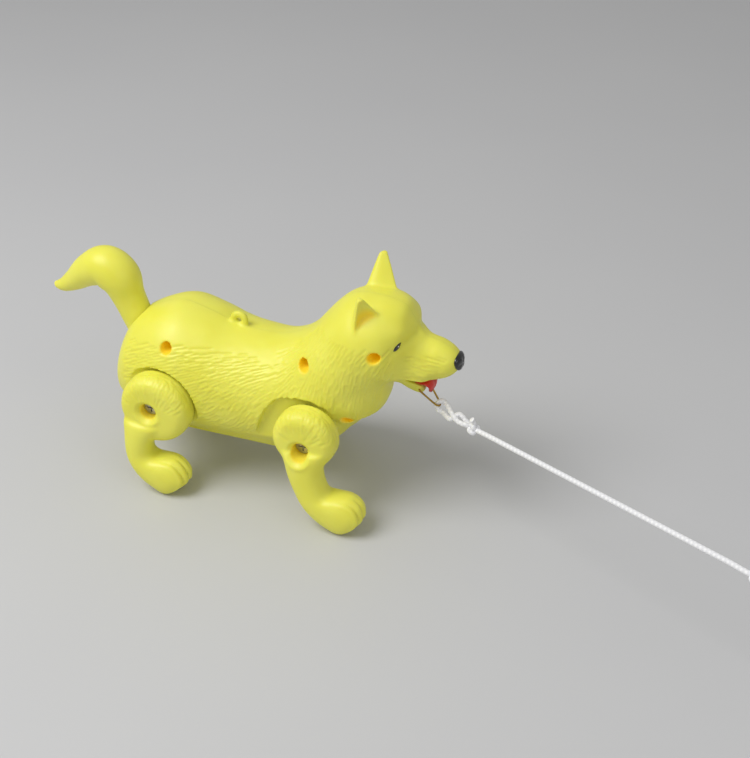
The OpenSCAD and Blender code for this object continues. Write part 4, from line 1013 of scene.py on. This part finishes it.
def leg_clay(stations, disc, disc_r, pivot, ball_x, seed):
    """A right leg: disc, shank and paw in one, with its hole, toes and strokes."""
    limb = lofted([limb_ring(s) for s in curved(stations, 6)])
    edge = [(disc_r - 0.8, -leg_inner_y), (disc_r, -leg_inner_y - 0.8), (disc_r, -disc_round_y)]
    for a in np.radians((15, 30, 45, 60, 75, 90)):
        y = disc_round_y + disc_round_r * math.sin(a)
        edge.append((disc_r - disc_round_r + disc_round_r * math.cos(a), -y))
    clay = Clay(skinned(joined([limb, rings_y(disc, edge)]), leg_voxel))
    x, y, z = clay.p.T
    knee = step(-y, 33, 37) * np.exp(-(((z - disc[1] + 0.72 * disc_r) / (0.4 * disc_r)) ** 2))
    clay.ease(40, knee)
    bore = [(leg_hole_r, -past_y), (leg_hole_r, leg_hole_floor_y)]
    bore += [(leg_bore_r, leg_hole_floor_y), (leg_bore_r, -20)]
    clay = Clay(skinned(cut(clay.skin(), rings_y(pivot, bore)), leg_voxel)).ease(3)

    x, y, z = clay.p.T
    hole = np.hypot(x - pivot[0], z - pivot[1])
    outer = step(-y, 34.5, 36.5)
    clay.p[:, 1] += outer * 1.7 * (1 - step(hole, 3.9, 7.2))
    clay.p[:, 1] -= outer * 0.5 * np.exp(-(((hole - 6.8) / 1.6) ** 2)) * step(pivot[1] - z, 0.5, 5)

    x, y, z = clay.p.T
    paw = step(x, ball_x - 4, ball_x + 4) * (1 - step(z, 17, 22)) * (1 - step(np.abs(y + limb_y), 6.2, 8))
    toes = -0.75 + 1.25 * np.abs(np.cos((y + limb_y) * math.pi / toe_w + math.pi / 2)) ** 0.6
    clay.push(paw * 1.25 * toes * step(z, 0.4, 2.2))

    x, y, z = clay.p.T
    off = np.hypot(x - disc[0], z - disc[1])
    heading = np.column_stack([(x - disc[0]) / off, 0 * x, (z - disc[1]) / off + 0.35])
    heading = laid_on(heading, clay.normals())
    furred = step(off, 0.38 * disc_r, 0.55 * disc_r)
    furred *= step(z - disc[1], 0.1 * disc_r, 0.5 * disc_r) * step(-y, 31, 34)
    seeds, dirs, draw = strokes(clay, 0.35 * furred, heading, spacing=1.15, length=5, seed=seed, most=300)
    size = draw.uniform(0.8, 1.25, len(seeds))
    carve(clay, seeds, dirs, 7 * size, 0.45 + 0.2 * size, draw.uniform(0.22, 0.42, len(seeds)))
    clay.p[:, 2] = np.maximum(clay.p[:, 2], 0)
    return clay.skin()


def turned_left(skin, pivot, degrees):
    """The left leg: the right one mirrored, then swung about its pivot."""
    x, y, z = (skin[0] * (1, -1, 1) - (pivot[0], 0, pivot[1])).T
    c, s = math.cos(math.radians(degrees)), math.sin(math.radians(degrees))
    points = np.column_stack([x * c + z * s, y, -x * s + z * c]) + (pivot[0], 0, pivot[1])
    points[:, 2] = np.maximum(points[:, 2], 0)
    return points, [face[::-1] for face in skin[1]]


front_leg = leg_clay(front_stations, front_disc, disc_r=17, pivot=shoulder, ball_x=64.41, seed=23)
hind_leg = leg_clay(hind_stations, hind_disc, disc_r=19.5, pivot=hip, ball_x=-35.98, seed=29)
front_left_back, hind_left_back = 65.49, 18.5
for name, skin, pivot in (
    ("front_right", front_leg, shoulder),
    ("front_left", turned_left(front_leg, shoulder, front_left_back), shoulder),
    ("hind_right", hind_leg, hip),
    ("hind_left", turned_left(hind_leg, hip, hind_left_back), hip),
):
    made = piece(name + "_leg_moulded", skin, skin_finish, name, (name + "_leg",))
    # Painted light: the hole of each leg gets the same painted warm glow as the screw holes of the shell.
    sunk = 1 - step(np.hypot(skin[0][:, 0] - pivot[0], skin[0][:, 2] - pivot[1]), 3.4, 5.4)
    mark(made, "sunk", np.column_stack([sunk, 0 * sunk, 0 * sunk]))


# Screws, pins and shafts: zinc-plated steel. The screws are cross-headed and sunk in the right
# shell, the legs, the gear frame and the battery cover.
def dress(material, *nodes):
    """Gives pieces that keep their solid shape a finish."""
    for node in nodes:
        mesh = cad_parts[node].data
        mesh.materials.clear()
        mesh.materials.append(material)


zinc, shader, place = finish("zinc_steel", Metallic=1.0)
feed(
    shader,
    Base_Color=place.grain(2, 3).tone(linear(150, 152, 156), linear(206, 207, 210)),
    Roughness=place.grain(0.8, 3).between(0.2, 0.8) * 0.2 + 0.25,
    height_mm=place.grain(0.35, 2) * 0.03,
)
dress(zinc, "body_screws", "leg_screws", "gearbox_screws", "battery_cover_screw")
dress(zinc, "gear_pins", "motor_shaft", "crank_shaft")

# Gear frame and gears: two plates and the wheels between them, moulded in white nylon with
# the soft sheen and faint flow marks of that plastic.
nylon, shader, place = finish("white_nylon", Subsurface_Weight=0.1, Subsurface_Scale=0.002)
feed(
    shader,
    Base_Color=place.grain(9, 3).tone(linear(226, 225, 217), linear(240, 239, 232)),
    Roughness=place.grain(2, 3).between(0.2, 0.8) * 0.15 + 0.38,
    height_mm=place.grain(0.8, 3, (1, 0.3, 1)) * 0.04,
)
dress(nylon, "gearbox_right", "gearbox_left", "motor_pinion", "first_gear", "second_gear")
dress(nylon, "crank_gear", "crank_right", "crank_left")

# Motor: a drawn and nickel-plated steel can with a black plastic cap that carries the brushes.
# It sits in the gear frame, behind the gears.
nickel, shader, place = finish("nickel_can", Metallic=1.0)
feed(
    shader,
    Base_Color=place.grain(14, 3).tone(linear(160, 160, 158), linear(196, 195, 190)),
    Roughness=place.grain(1.2, 3, (1, 0.15, 1)).between(0.2, 0.8) * 0.2 + 0.22,
    height_mm=place.grain(0.7, 2, (1, 0.1, 1)) * 0.03,
)
dress(nickel, "motor_can")
black_plastic, shader, place = finish("black_plastic")
feed(
    shader,
    Base_Color=place.grain(8, 3).tone(linear(24, 24, 25), linear(38, 38, 39)),
    Roughness=place.grain(1, 3).between(0.2, 0.8) * 0.2 + 0.42,
    height_mm=place.grain(0.45, 2) * 0.06,
)
dress(black_plastic, "motor_endcap")

# Power: a black tray in the belly with two cells and plated contacts, a slide switch behind it
# and red leads. The cover is the colour of the skin and held by one screw.
dress(black_plastic, "battery_tray", "switch_body", "switch_knob")
dress(nickel, "battery_contacts")
dress(skin_finish, "battery_cover")
jacket, shader, place = finish("cell_jacket", Coat_Weight=0.3)
along_cell = place.node("ShaderNodeSeparateXYZ", {}, {0: place})
banded = (along_cell * 1000 + place.grain(30, 1) * 0.4).between(6.0, 6.6)
feed(
    shader,
    Base_Color=banded.tone(linear(34, 74, 60), linear(206, 206, 204)),
    Roughness=place.grain(3, 2) * 0.1 + 0.25,
    height_mm=place.grain(2, 2) * 0.03,
)
dress(jacket, "battery_cells")
lead, shader, place = finish("lead_jacket")
feed(
    shader,
    Base_Color=place.grain(5, 2).tone(linear(176, 26, 22), linear(204, 40, 32)),
    Roughness=place.grain(1, 2) * 0.15 + 0.35,
    height_mm=place.grain(0.6, 2) * 0.04,
)
dress(lead, "wires")
